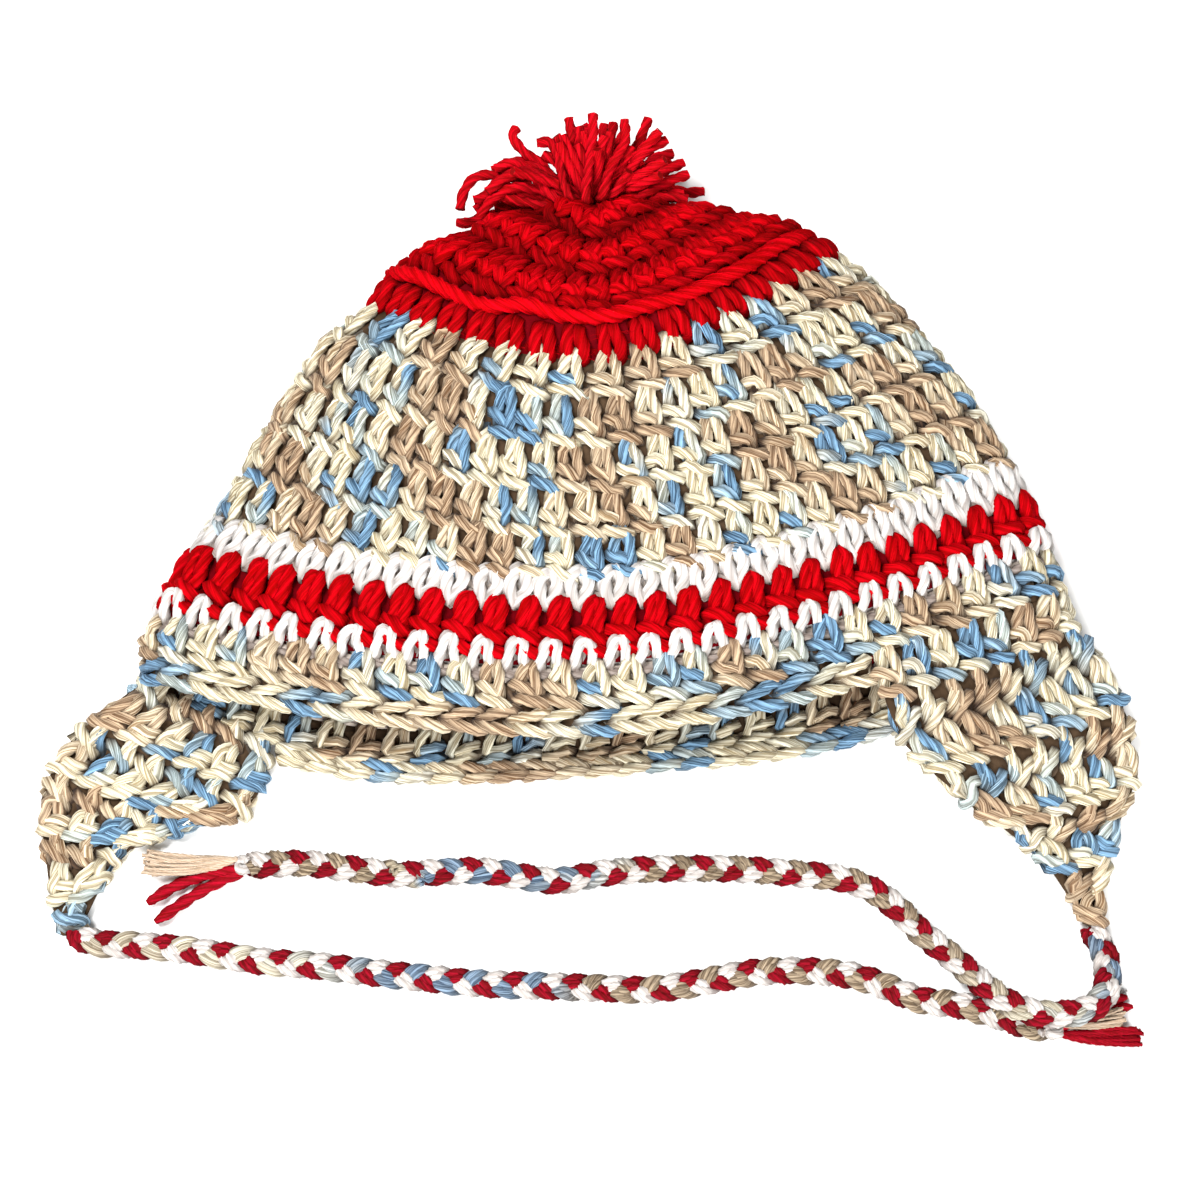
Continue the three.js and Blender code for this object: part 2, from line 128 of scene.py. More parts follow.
addFloor()
addLight("keyLight", studio["key"])
addLight("fillLight", studio["fill"])
sky = bpy.data.worlds.new("studioSky")
sky.use_nodes = True
background = sky.node_tree.nodes["Background"]
setInputs(sky.node_tree, background, {"Color": (1.0, 1.0, 1.0, 1.0), "Strength": studio["sky"]})
bpy.context.scene.world = sky

report("yarn materials")


def evenStops(dark, light):
    return [(0.0, dark), (0.5, light), (1.0, dark)]


yarnLooks = {  # the painted shade of the fibre lines and of the grooves between plies tints the colour's own square, which keeps pale yarn pale
    "red": {
        "stops": evenStops((0.60, 0.0003, 0.005), (0.68, 0.0004, 0.007)),
        "grooveShade": (0.5, 0.5, 0.5), "fibreShade": (0.85, 0.9, 0.9), "deepShadeColour": (0.22, 0.18, 0.18),
        "haze": 0.002, "specular": 0.01,
    },
    # painted light: the tuft's red is a lighter copy of the red, against the shade between its strands
    "tuftRed": {
        "stops": evenStops((0.61, 0.001, 0.009), (0.72, 0.001, 0.012)),
        "grooveShade": (0.4, 0.4, 0.4), "fibreShade": (0.65, 0.7, 0.7), "deepShadeColour": (0.22, 0.18, 0.18),
        "haze": 0.004, "specular": 0.02,
    },
    "braidRed": {
        "stops": evenStops((0.26, 0.0005, 0.011), (0.32, 0.001, 0.015)),
        "grooveShade": (0.8, 0.7, 0.7), "fibreShade": (1.2, 1.0, 1.0), "deepShadeColour": (0.18, 0.15, 0.15),
        "haze": 0.008, "specular": 0.04,
    },
    "tailRed": {
        "stops": evenStops((0.40, 0.001, 0.016), (0.48, 0.001, 0.021)),
        "grooveShade": (0.8, 0.7, 0.7), "fibreShade": (1.0, 0.9, 0.9), "deepShadeColour": (0.18, 0.15, 0.15),
        "haze": 0.008, "specular": 0.02,
    },
    "braidWhite": {
        "stops": evenStops((0.68, 0.65, 0.62), (0.73, 0.705, 0.68)),
        "grooveShade": (0.70, 0.65, 0.64), "fibreShade": (0.90, 0.88, 0.88), "deepShadeColour": (0.26, 0.20, 0.20),
        "haze": 0.02, "specular": 0.05,
    },
    "tailTan": {
        "stops": evenStops((0.74, 0.61, 0.48), (0.84, 0.72, 0.58)),
        "grooveShade": (0.70, 0.66, 0.62), "fibreShade": (0.85, 0.83, 0.80), "deepShadeColour": (0.4, 0.35, 0.3),
        "haze": 0.03, "specular": 0.1, "sheen": 0.1,
    },
    "braidTweed": {
        "stops": [
            (0.00, (0.44, 0.34, 0.23)), (0.09, (0.40, 0.31, 0.21)), (0.13, (0.24, 0.34, 0.45)),
            (0.20, (0.21, 0.30, 0.41)), (0.25, (0.74, 0.69, 0.56)), (0.31, (0.44, 0.34, 0.23)),
            (0.46, (0.38, 0.29, 0.19)), (0.50, (0.56, 0.56, 0.53)), (0.55, (0.23, 0.33, 0.44)),
            (0.61, (0.21, 0.30, 0.41)), (0.66, (0.70, 0.64, 0.51)), (0.74, (0.74, 0.68, 0.53)),
            (0.80, (0.42, 0.33, 0.22)), (1.00, (0.44, 0.34, 0.23)),
        ],
        "grooveShade": (0.36, 0.34, 0.32), "fibreShade": (0.50, 0.50, 0.52), "deepShadeColour": (0.18, 0.14, 0.11),
        "haze": 0.03, "specular": 0.15, "sheen": 0.05,
    },
    "white": {
        "stops": evenStops((0.75, 0.735, 0.715), (0.80, 0.785, 0.77)),
        "grooveShade": (0.62, 0.57, 0.55), "fibreShade": (0.92, 0.91, 0.90), "deepShadeColour": (0.42, 0.36, 0.33),
        "haze": 0.01, "specular": 0.05,
    },
    "tweed": {
        "stops": [
            (0.00, (0.23, 0.42, 0.62)), (0.045, (0.23, 0.42, 0.62)), (0.07, (0.62, 0.72, 0.72)),
            (0.10, (0.95, 0.90, 0.70)), (0.27, (0.95, 0.89, 0.68)), (0.30, (0.60, 0.70, 0.71)),
            (0.32, (0.25, 0.44, 0.63)), (0.37, (0.22, 0.41, 0.61)), (0.395, (0.62, 0.72, 0.72)),
            (0.43, (0.95, 0.90, 0.70)), (0.54, (0.90, 0.80, 0.60)), (0.60, (0.63, 0.47, 0.31)),
            (0.78, (0.59, 0.43, 0.275)), (0.84, (0.84, 0.72, 0.52)), (0.89, (0.96, 0.91, 0.71)),
            (0.975, (0.86, 0.85, 0.74)), (1.00, (0.23, 0.42, 0.62)),
        ],
        "grooveShade": (0.24, 0.20, 0.17), "fibreShade": (0.38, 0.33, 0.29), "deepShadeColour": (0.10, 0.065, 0.045),
        "haze": 0.02, "specular": 0.15, "sheen": 0.05,
    },
}
yarnTwist = {
    "period": 560.0,  # mm of colour-changing yarn before its colours come back
    "wander": 260.0,  # mm that the colours wander by
    "wanderScale": 0.0043,  # how fast they wander, per mm
    "streaks": 4.6,  # fibre streaks round the yarn
    "streakLength": 0.09,  # and their frequency along it, per mm
    "streakFrom": 0.40, "streakTo": 0.54,
    "grooveWidth": 0.5,  # a lower value draws the grooves between the plies narrower
    "relief": 0.6, "reliefDepth": 0.0006, "streakHeight": 0.35, "fuzzHeight": 0.25,
    "fuzzScale": 900.0,
    # painted highlight: the pale colour that those fibre patches are painted towards
    "hazeColor": (1.0, 0.96, 0.94, 1.0),
    "roughness": 0.95, "streakGloss": 0.12, "sheenRoughness": 0.5,
}


def mathNode(tree, operation, *values):
    return addNode(tree, "ShaderNodeMath", dict(enumerate(values)), operation=operation).outputs[0]


def mixColor(tree, blend, factor, first, second):
    inputs = {0: factor, 6: first, 7: second}
    return addNode(tree, "ShaderNodeMix", inputs, data_type="RGBA", blend_type=blend).outputs[2]


def attribute(tree, name, output="Fac"):
    return addNode(tree, "ShaderNodeAttribute", attribute_name=name).outputs[output]


def objectNoise(tree, scale, detail):
    place = tree.nodes.new("ShaderNodeTexCoord").outputs["Object"]
    inputs = {"Vector": place, "Scale": scale, "Detail": detail}
    return addNode(tree, "ShaderNodeTexNoise", inputs).outputs[0]


def yarnMaterial(name, look):
    material, tree, shader = newMaterial(name)
    along = attribute(tree, "along")

    # colour by the length of yarn used, with a slow wander
    place = mathNode(tree, "MULTIPLY", along, yarnTwist["wanderScale"])
    inputs = {"Detail": 1.0, "Scale": 1.0, "W": place}
    wander = addNode(tree, "ShaderNodeTexNoise", inputs, noise_dimensions="1D")
    shift = mathNode(tree, "MULTIPLY", wander.outputs[0], yarnTwist["wander"])
    turn = mathNode(tree, "DIVIDE", mathNode(tree, "ADD", along, shift), yarnTwist["period"])
    ramp = addNode(tree, "ShaderNodeValToRGB", {0: mathNode(tree, "FRACT", turn)})
    elements = ramp.color_ramp.elements
    while len(elements) < len(look["stops"]):
        elements.new(0.5)
    for element, (place, color) in zip(elements, look["stops"]):
        element.position = place
        element.color = (*color, 1.0)
    base = ramp.outputs[0]

    # fibre streaks that follow the plies round the yarn
    inputs = {0: attribute(tree, "around", "Vector"), "Scale": yarnTwist["streaks"]}
    stretch = addNode(tree, "ShaderNodeVectorMath", inputs, operation="SCALE")
    split = addNode(tree, "ShaderNodeSeparateXYZ", {0: stretch.outputs[0]})
    lengthwise = mathNode(tree, "MULTIPLY", along, yarnTwist["streakLength"])
    inputs = {0: split.outputs[0], 1: split.outputs[1], 2: lengthwise}
    joined = addNode(tree, "ShaderNodeCombineXYZ", inputs)
    inputs = {"Scale": 1.0, "Detail": 3.0, "Roughness": 0.62, "Vector": joined.outputs[0]}
    streaks = addNode(tree, "ShaderNodeTexNoise", inputs)
    streak = addNode(tree, "ShaderNodeMapRange", {
        "From Min": yarnTwist["streakFrom"], "From Max": yarnTwist["streakTo"], "Value": streaks.outputs[0],
    }).outputs[0]

    white = (1.0, 1.0, 1.0, 1.0)
    # painted shade: the low lines between fibres take a darker tint of the colour's own square
    square = mixColor(tree, "MULTIPLY", 1.0, base, base)
    fibreShade = mixColor(tree, "MULTIPLY", 1.0, square, (*look["fibreShade"], 1.0))
    color = mixColor(tree, "MIX", streak, fibreShade, base)
    # painted shade in the grooves between the plies, by how far the yarn's surface lies from a ply's crest
    crestShare = mathNode(tree, "POWER", attribute(tree, "crest"), yarnTwist["grooveWidth"])
    grooveShade = mixColor(tree, "MULTIPLY", 1.0, square, (*look["grooveShade"], 1.0))
    color = mixColor(tree, "MIX", crestShare, grooveShade, color)
    # painted shade: yarn deep in the fabric, in a crease, under a braid or near the tuft's root is darkened
    # towards the look's shade colour by the "outer" attribute
    depth = mixColor(tree, "MIX", attribute(tree, "outer"), (*look["deepShadeColour"], 1.0), white)
    color = mixColor(tree, "MULTIPLY", 1.0, color, depth)

    # painted highlight: soft patches of short loose fibres are painted paler, as if they caught the light
    fuzzPatches = objectNoise(tree, yarnTwist["fuzzScale"], 2.0)
    haze = mathNode(tree, "MULTIPLY", fuzzPatches, look["haze"])
    streakHeight = mathNode(tree, "MULTIPLY", streak, yarnTwist["streakHeight"])
    fuzzHeight = mathNode(tree, "MULTIPLY", fuzzPatches, yarnTwist["fuzzHeight"])
    bump = addNode(tree, "ShaderNodeBump", {
        "Strength": yarnTwist["relief"], "Distance": yarnTwist["reliefDepth"],
        "Height": mathNode(tree, "ADD", streakHeight, fuzzHeight),
    })
    gloss = mathNode(tree, "MULTIPLY", streak, yarnTwist["streakGloss"])
    setInputs(tree, shader, {
        "Base Color": mixColor(tree, "MIX", haze, color, yarnTwist["hazeColor"]),
        "Normal": bump.outputs[0],
        "Roughness": mathNode(tree, "SUBTRACT", yarnTwist["roughness"], gloss),
        "Specular IOR Level": look["specular"], "Sheen Weight": look.get("sheen", 0.0),
        "Sheen Roughness": yarnTwist["sheenRoughness"], "Sheen Tint": white,
    })
    return material


yarnMaterials = {name: yarnMaterial(name + "Yarn", look) for name, look in yarnLooks.items()}

# painted shade: dark backing sheets lie under the yarn, in darker tints of its colours, and stand in for the
# shade seen through the gaps between stitches
shadeBackingLooks = {
    "red": {"dark": (0.06, 0.0005, 0.002, 1.0), "light": (0.17, 0.001, 0.004, 1.0)},
    "white": {"dark": (0.30, 0.24, 0.20, 1.0), "light": (0.62, 0.55, 0.48, 1.0)},
    "tweed": {"dark": (0.025, 0.014, 0.008, 1.0), "light": (0.095, 0.06, 0.035, 1.0)},
}
shadeBackingPatches = {"scale": 260.0, "detail": 3.0, "depth": 0.001}


def shadeBackingMaterial(name, look):
    material, tree, shader = newMaterial(name)
    patches = objectNoise(tree, shadeBackingPatches["scale"], shadeBackingPatches["detail"])
    bump = addNode(tree, "ShaderNodeBump", {"Distance": shadeBackingPatches["depth"], "Height": patches})
    setInputs(tree, shader, {
        "Base Color": mixColor(tree, "MIX", patches, look["dark"], look["light"]),
        "Normal": bump.outputs[0], "Roughness": 0.95, "Specular IOR Level": 0.03,
    })
    return material


shadeBackingMaterials = {name: shadeBackingMaterial(name + "ShadeBacking", look) for name, look in shadeBackingLooks.items()}

report("yarn tree")


def yarnTree():
    tree = bpy.data.node_groups.new("pliedYarn", "GeometryNodeTree")
    sockets = {
        "Paths": "Geometry", "Yarn Radius": "Float", "Ply Depth": "Float", "Twist Length": "Float",
        "Plies": "Int", "Yarn": "Material",
    }
    for name, kind in sockets.items():
        tree.interface.new_socket(name, in_out="INPUT", socket_type="NodeSocket" + kind)
    tree.interface.new_socket("Yarn Mesh", in_out="OUTPUT", socket_type="NodeSocketGeometry")
    given = tree.nodes.new("NodeGroupInput").outputs

    def named(name):
        node = addNode(tree, "GeometryNodeInputNamedAttribute", {"Name": name}, data_type="FLOAT")
        return node.outputs["Attribute"]

    def store(geometry, name, value, kind):
        inputs = {"Name": name, "Geometry": geometry, "Value": value}
        node = addNode(tree, "GeometryNodeStoreNamedAttribute", inputs, data_type=kind, domain="POINT")
        return node.outputs["Geometry"]

    # a lobed profile, one lobe for each ply
    valley = mathNode(tree, "MULTIPLY", given["Yarn Radius"], given["Ply Depth"])
    profile = addNode(tree, "GeometryNodeCurveStar", {
        "Points": given["Plies"], "Outer Radius": given["Yarn Radius"], "Inner Radius": valley,
    })
    place = tree.nodes.new("GeometryNodeInputPosition").outputs[0]
    unit = addNode(tree, "ShaderNodeVectorMath", {0: place}, operation="NORMALIZE")
    size = addNode(tree, "ShaderNodeVectorMath", {0: place}, operation="LENGTH")
    crest = addNode(tree, "ShaderNodeMapRange", {
        "Value": size.outputs["Value"], "From Min": valley, "From Max": given["Yarn Radius"],
    })
    outline = store(profile.outputs["Curve"], "around", unit.outputs[0], "FLOAT_VECTOR")
    outline = store(outline, "crest", crest.outputs[0], "FLOAT")

    # the paths, twisted by the length of yarn used
    paths = addNode(tree, "GeometryNodeMeshToCurve", {"Mesh": given["Paths"]})
    turnLength = mathNode(tree, "MULTIPLY", given["Twist Length"], 1 / mm)
    turns = mathNode(tree, "DIVIDE", named("along"), turnLength)
    tilt = addNode(tree, "GeometryNodeSetCurveTilt", {
        "Curve": paths.outputs["Curve"], "Tilt": mathNode(tree, "MULTIPLY", turns, 2 * math.pi),
    })
    sweep = addNode(tree, "GeometryNodeCurveToMesh", {
        "Fill Caps": True, "Curve": tilt.outputs["Curve"], "Profile Curve": outline, "Scale": named("thick"),
    })
    smooth = addNode(tree, "GeometryNodeSetShadeSmooth", {"Geometry": sweep.outputs["Mesh"]})
    real = addNode(tree, "GeometryNodeRealizeInstances", {"Geometry": smooth.outputs[0]})
    inputs = {"Geometry": real.outputs[0], "Material": given["Yarn"]}
    finish = addNode(tree, "GeometryNodeSetMaterial", inputs)
    addNode(tree, "NodeGroupOutput", {"Yarn Mesh": finish.outputs[0]})
    return tree


pliedYarn = yarnTree()
yarnSizes = {"radius": 1.82, "plyDepth": 0.78, "twist": 21.0, "plies": 4}  # radius and twist in mm
clearance = 0.05  # mm between yarn and floor
fuzz = {
    "length": (2.2, 5.0), "points": 4, "curl": 0.55, "lowest": 0.1, "sizes": {"radius": 0.06, "plies": 3},
    "rootShare": 0.7,  # of the yarn's radius, where a hair starts
    "tip": 0.5,  # its thickness at the tip
}


def pathMesh(paths):
    points = np.vstack([path["points"] for path in paths])
    edges = []
    first = 0
    for path in paths:
        count = len(path["points"])
        edges += [(first + i, first + i + 1) for i in range(count - 1)]
        first += count
    mesh = bpy.data.meshes.new("paths")
    mesh.from_pydata([tuple(p) for p in points], edges, [])
    # "outer" is the share of the colour left free of the painted shade
    for name in ("along", "thick", "outer"):
        layer = mesh.attributes.new(name, "FLOAT", "POINT")
        layer.data.foreach_set("value", np.concatenate([path[name] for path in paths]).astype(np.float32))
    return mesh


def sweptYarn(paths, yarn, sizes=None):
    sizes = {**yarnSizes, **(sizes or {})}
    helper = addObject("yarnHelper", pathMesh(paths))
    modifier = helper.modifiers.new("pliedYarn", "NODES")
    modifier.node_group = pliedYarn
    values = {
        "Yarn Radius": sizes["radius"] * mm, "Ply Depth": sizes["plyDepth"],
        "Twist Length": sizes["twist"] * mm, "Plies": sizes["plies"], "Yarn": yarnMaterials[yarn],
    }
    for socket in pliedYarn.interface.items_tree:
        if socket.in_out == "INPUT" and socket.name in values:
            modifier[socket.identifier] = values[socket.name]
    evaluated = helper.evaluated_get(bpy.context.evaluated_depsgraph_get())
    mesh = bpy.data.meshes.new_from_object(evaluated)
    bpy.data.objects.remove(helper)
    return mesh


def unitRows(vectors):
    return vectors / np.maximum(np.linalg.norm(vectors, axis=1), 1e-9)[:, None]


def smoothLine(points, closed=False, steps=2):
    points = np.asarray(points, float)
    count = len(points)
    steps = np.broadcast_to(steps, (count,))
    lines = []
    last = count if closed else count - 1
    for i in range(last):
        if closed:
            a, b, c, d = (points[(i + k) % count] for k in (-1, 0, 1, 2))
        else:
            b, c = points[i], points[i + 1]
            a = points[i - 1] if i else 2 * b - c
            d = points[i + 2] if i + 2 < count else 2 * c - b
        t = (np.arange(steps[i]) / steps[i])[:, None]
        lines.append(0.5 * (2 * b + (c - a) * t + (2 * a - 5 * b + 4 * c - d) * t ** 2
                            + (3 * b - a - 3 * c + d) * t ** 3))
    lines.append(points[:1] if closed else points[-1:])
    return np.vstack(lines)


def pathLengths(points):
    steps = np.linalg.norm(np.diff(points, axis=0), axis=1)
    return np.concatenate([[0.0], np.cumsum(steps)])


def yarnPath(points, start=0.0, thick=None, lowest=None, outer=None):
    points = np.array(points, float)
    points[:, 2] = np.maximum(points[:, 2], lowest or yarnSizes["radius"] + clearance)
    lengths = pathLengths(points)
    even = np.ones(len(points))
    return {"points": (points + toFrame) * mm, "along": lengths + start,
            "thick": even if thick is None else thick, "outer": even if outer is None else outer}


def fuzzPaths(paths, radius, count, random):
    points = np.vstack([path["points"][1:-1] for path in paths]) / mm
    colours = np.concatenate([path["along"][1:-1] for path in paths])
    hairs = []
    for k in random.randint(0, len(points), count):
        way = unitRows(random.normal(0, 1, (1, 3)))[0]
        turned = unitRows(np.cross(way, random.normal(0, 1, 3))[None])[0]
        length = random.uniform(*fuzz["length"])
        shares = np.linspace(0, 1, fuzz["points"])[:, None]
        hair = points[k] + way * (fuzz["rootShare"] * radius + length * shares)
        hair += turned * length * fuzz["curl"] * shares ** 2
        hair[:, 2] = np.maximum(hair[:, 2], fuzz["lowest"])
        even = np.ones(fuzz["points"])
        hairs.append({"points": hair * mm, "along": even * colours[k], "outer": even,
                      "thick": np.linspace(1, fuzz["tip"], fuzz["points"])})
    return hairs


def finishedPiece(name, meshes, nodes):
    parts = [addObject(name, mesh) for mesh in meshes]
    if len(parts) > 1:
        with bpy.context.temp_override(active_object=parts[0], selected_editable_objects=parts,
                                       selected_objects=parts, object=parts[0]):
            bpy.ops.object.join()
    piece = parts[0]
    piece.name = name
    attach(piece, "root")
    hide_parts(*nodes)
    return piece


report("ties")

braid = {
    "spread": 1.75,  # mm from the braid's middle line to a strand's, sideways
    "lift": 1.2,  # and up or down
    "period": 15.6,  # mm of braid in which a strand comes back to its place
    "strandGap": 0.82,  # half the gap between the two yarns of a strand
    "pinch": 0.25,  # share of that gap lost where the strand crosses the braid's middle
    "lean": 0.8,  # and how far its two yarns slide past each other there
    "shift": 3,  # mm of yarn between the colours of its two yarns
    "shade": ([-1.0, 0.6], [0.2, 1.0]),  # painted shade, darker under the middle line
    "lowest": 1.3,
    "yarn": {"radius": 1.36, "twist": 12.0, "plyDepth": 0.9},
    "strands": ["braidRed", "braidWhite", "braidTweed"],
    "step": 1.05,  # mm between points
}
tieLeftRoute = [(x, y, 2.6) for x, y in [
    (-139.2, -86.9), (-137, -89), (-132, -90.2), (-125, -90.6), (-114, -91.4), (-102, -93), (-89, -95),
    (-74, -96.2), (-61, -97.8), (-48, -99.2), (-32, -100.8), (-16, -101.4), (0, -102), (13, -102.4),
    (26, -100.6), (40, -98), (53, -97.4), (66, -98.6), (74, -101), (84, -105), (95, -106.6),
    (105, -109.4), (112, -111.8), (117, -112.4),
]]
tieRightRoute = [
    (130.8, -86.3, 3), (131.8, -89, 3), (133.4, -92.8, 3.6), (133.6, -98, 5.2), (132.4, -103.6, 7.4),
    (129, -107.6, 8.2), (123, -109.4, 8.3), (115, -109.6, 8.3), (108, -107.4, 8.2), (102.6, -103.4, 6.6),
    (97, -97.6, 3.8), (91, -92, 3), (85, -87, 2.8), (80, -81.6, 2.8), (74, -76.6, 2.8), (67, -73.4, 2.8),
    (59, -72, 2.8), (48, -71, 2.8), (38, -70.2, 2.8), (27, -70, 2.8), (13, -70.2, 2.8), (0, -71.4, 2.8),
    (-11, -73.4, 2.8), (-21, -72.2, 2.8), (-32, -70.6, 2.8), (-43, -71, 2.8), (-54, -71.6, 2.8),
    (-67, -70, 2.8), (-80, -68.6, 2.8), (-94, -69.2, 2.8),
]


def evenLine(points, step):
    fine = smoothLine(points, steps=12)
    lengths = pathLengths(fine)
    places = np.linspace(0, lengths[-1], max(2, int(round(lengths[-1] / step)) + 1))
    return np.column_stack([np.interp(places, lengths, fine[:, k]) for k in range(3)]), places


def braidedTie(name, route, firstPhase, colours):
    middle, places = evenLine(route, braid["step"])
    ways = np.gradient(middle, axis=0)
    ways /= np.linalg.norm(ways, axis=1)[:, None]
    sides = np.cross(ways, (0.0, 0.0, 1.0))
    sides /= np.linalg.norm(sides, axis=1)[:, None]
    ups = np.cross(sides, ways)
    meshes = []
    for k, yarn in enumerate(braid["strands"]):
        phase = 2 * math.pi * (places / braid["period"] + k / 3) + firstPhase
        aside = braid["spread"] * np.sin(phase)
        up = braid["lift"] * np.sin(2 * phase)
        slope = np.cos(phase)
        for half in (-1, 1):
            gap = half * braid["strandGap"]
            # the two yarns lie side by side across the strand's own way
            points = middle + sides * (aside + gap * (1 - braid["pinch"] * np.abs(slope)))[:, None]
            points = points + ways * (-gap * slope * braid["lean"])[:, None] + ups * up[:, None]
            outer = np.interp(points[:, 2] - middle[:, 2], *braid["shade"])
            shift = braid["shift"] * half
            path = yarnPath(points, shift, lowest=braid["lowest"], outer=outer)
            if yarn == "braidTweed":
                path["along"] = np.interp(path["along"] / path["along"][-1], *colours) + shift
            meshes.append(sweptYarn([path], yarn, braid["yarn"]))
    centre = (middle + toFrame) * mm
    piece = finishedPiece(name + "_braid", meshes, [name])
    return piece, centre, places[-1] * mm


# shares of each tie's length and the colour-changing yarn's place there, in mm
leftColours = ([0, 0.25, 0.31, 0.48, 0.53, 1], [598, 580, 566, 520, 490, 300])
rightColours = ([0, 0.14, 0.3, 0.62, 0.65, 0.82, 0.86, 1], [1075, 1108, 1160, 1312, 1325, 1350, 1440, 1500])
tieLeft, tieLeftLine, tieLeftLength = braidedTie("tie_left", tieLeftRoute, 0.4, leftColours)
tieRight, tieRightLine, tieRightLength = braidedTie("tie_right", tieRightRoute, 1.1, rightColours)

capRows = {
    "lowerLayer": 3.0,  # height of the lower layer's middle
    # left x, y; right x, y; fold; top; sag of the upper and of the lower layer
    "table": np.array([
        [-58.5, 93.5, 60, 105.5, 17, 47, 30, 30],
        [-63, 85, 66, 101, 14, 46, 34, 32],
        [-76, 76, 78, 91, 12, 45, 36, 34],
        [-84.5, 62, 88, 79, 10.5, 43, 36, 34],
        [-92, 48, 98, 66, 10, 41, 34.5, 33],
        [-99, 33.5, 106, 52.5, 9.5, 39.5, 32.5, 32],
        [-106.5, 20, 113, 38, 9, 38, 29.5, 31],
        [-111, 14, 116.5, 30, 9, 37, 29, 30.5],
        [-118, -2.5, 120.5, 17, 9, 35.5, 28, 30],
        [-121, -9, 122.5, 10.5, 9, 34.5, 28, 30],
        [-122, -16, 124.5, 2.5, 9, 33.5, 27.5, 30],
        [-121.5, -22, 127, -4, 9, 32.5, 27.5, 30],
    ]),
    "bowTop": 1.7,  # how a row's sag falls off to its sides, upper layer
    "bowLow": 3.5,  # and lower layer
    "discRounds": [0.0, 0.365, 0.68, 1.0],  # each round's share of the crown's disc
    "discMiddle": (-1.4, 116.0, 20.0),
    "discSide": 0.7,  # how the disc rounds off to its sides
    "discTop": 0.85,  # to its upper half
    "discLow": 0.5,  # and to its lower half
}
firstPlace = 0.03  # the rows start just past the disc's middle
lastRow = 14
pastEnd = {"fabric": 0.4, "rows": 0.35, "edging": 0.3}  # how far past the last row each may run
probe = {"down": 0.05, "across": 0.02, "first": 0.02}  # steps to either side that give the fabric's face


def rowOutline(q, row):
    leftX, leftY, rightX, rightY, fold, top, sagTop, sagLow = row
    low = capRows["lowerLayer"]
    half = (rightX - leftX) / 2
    upper = np.full_like(half, math.pi / 2)
    for _ in range(12):
        run = half - fold + fold * np.cos(upper)
        upper = np.arctan2(run, 2 * (top - low - fold - fold * np.sin(upper)))
    straight = half - fold
    sweep = upper + math.pi / 2
    reach = straight + fold * np.cos(upper)
    shoulder = low + fold + fold * np.sin(upper)
    isFold = (q < 1) | ((q >= 2) & (q < 3))
    angle = np.where(q < 1, -math.pi / 2 + sweep * q, upper - sweep * (q - 2))
    side = np.where(q < 1, 1.0, -1.0)
    foldX = (straight + fold * np.cos(angle)) * side
    foldZ = low + fold + fold * np.sin(angle)
    topX = reach * (1 - 2 * (q - 1))
    topZ = top - (top - shoulder) * (topX / reach) ** 2
    lowX = straight * (2 * (q - 3) - 1)
    x = np.where(isFold, foldX, np.where(q < 2, topX, lowX))
    z = np.where(isFold, foldZ, np.where(q < 2, topZ, low))
    share = np.minimum(1.0, np.abs(x) / half)
    sag = np.where(z < low + fold, sagLow * (1 - share ** capRows["bowLow"]),
                   sagTop * (1 - share ** capRows["bowTop"]))
    chord = (leftY + rightY) / 2 + (rightY - leftY) / 2 * x / half
    return (leftX + rightX) / 2 + x, chord - sag, z


def fabricPoint(q, v):
    q = np.mod(np.asarray(q, float), 4.0)
    v = np.clip(np.asarray(v, float), 0.0, lastRow + pastEnd["fabric"])
    table = capRows["table"]
    k = np.clip(np.floor(v - 3).astype(int), 0, len(table) - 2)
    share = np.maximum(v - 3 - k, 0.0)[:, None]
    x, y, z = rowOutline(q, (table[k] * (1 - share) + table[k + 1] * share).T)
    share = np.interp(v, [0, 1, 2, 3], capRows["discRounds"])
    middle = capRows["discMiddle"]
    half = (table[0][2] - table[0][0]) / 2
    side = np.abs(x - (table[0][0] + table[0][2]) / 2) / half
    bulge = np.where(z > middle[2], capRows["discTop"], capRows["discLow"])
    share = np.maximum(share, 1e-6)
    discX = middle[0] + (x - middle[0]) * share
    discY = middle[1] + (y - middle[1]) * share ** (1 + capRows["discSide"] * side ** 2)
    discZ = middle[2] + (z - middle[2]) * share ** bulge
    disc = np.column_stack([discX, discY, discZ])
    return np.where((v < 3)[:, None], disc, np.column_stack([x, y, z]))


def fabricOut(q, v):
    ahead = fabricPoint(q, np.minimum(v + probe["down"], lastRow + pastEnd["fabric"]))
    down = unitRows(ahead - fabricPoint(q, np.maximum(v - probe["down"], probe["first"])))
    across = fabricPoint(q + probe["across"], v) - fabricPoint(q - probe["across"], v)
    return unitRows(np.cross(across, down))


def fabricPlace(q, v):
    v = np.maximum(v, firstPlace)
    return fabricPoint(q, v), fabricOut(q, v)


def placesByLength(v, count=1600):
    q = 3.5 - np.linspace(0, 4, count + 1)  # from the lower layer's middle, to the right on the upper layer
    lengths = pathLengths(fabricPoint(q, np.full(count + 1, v)))
    return lengths / lengths[-1], q


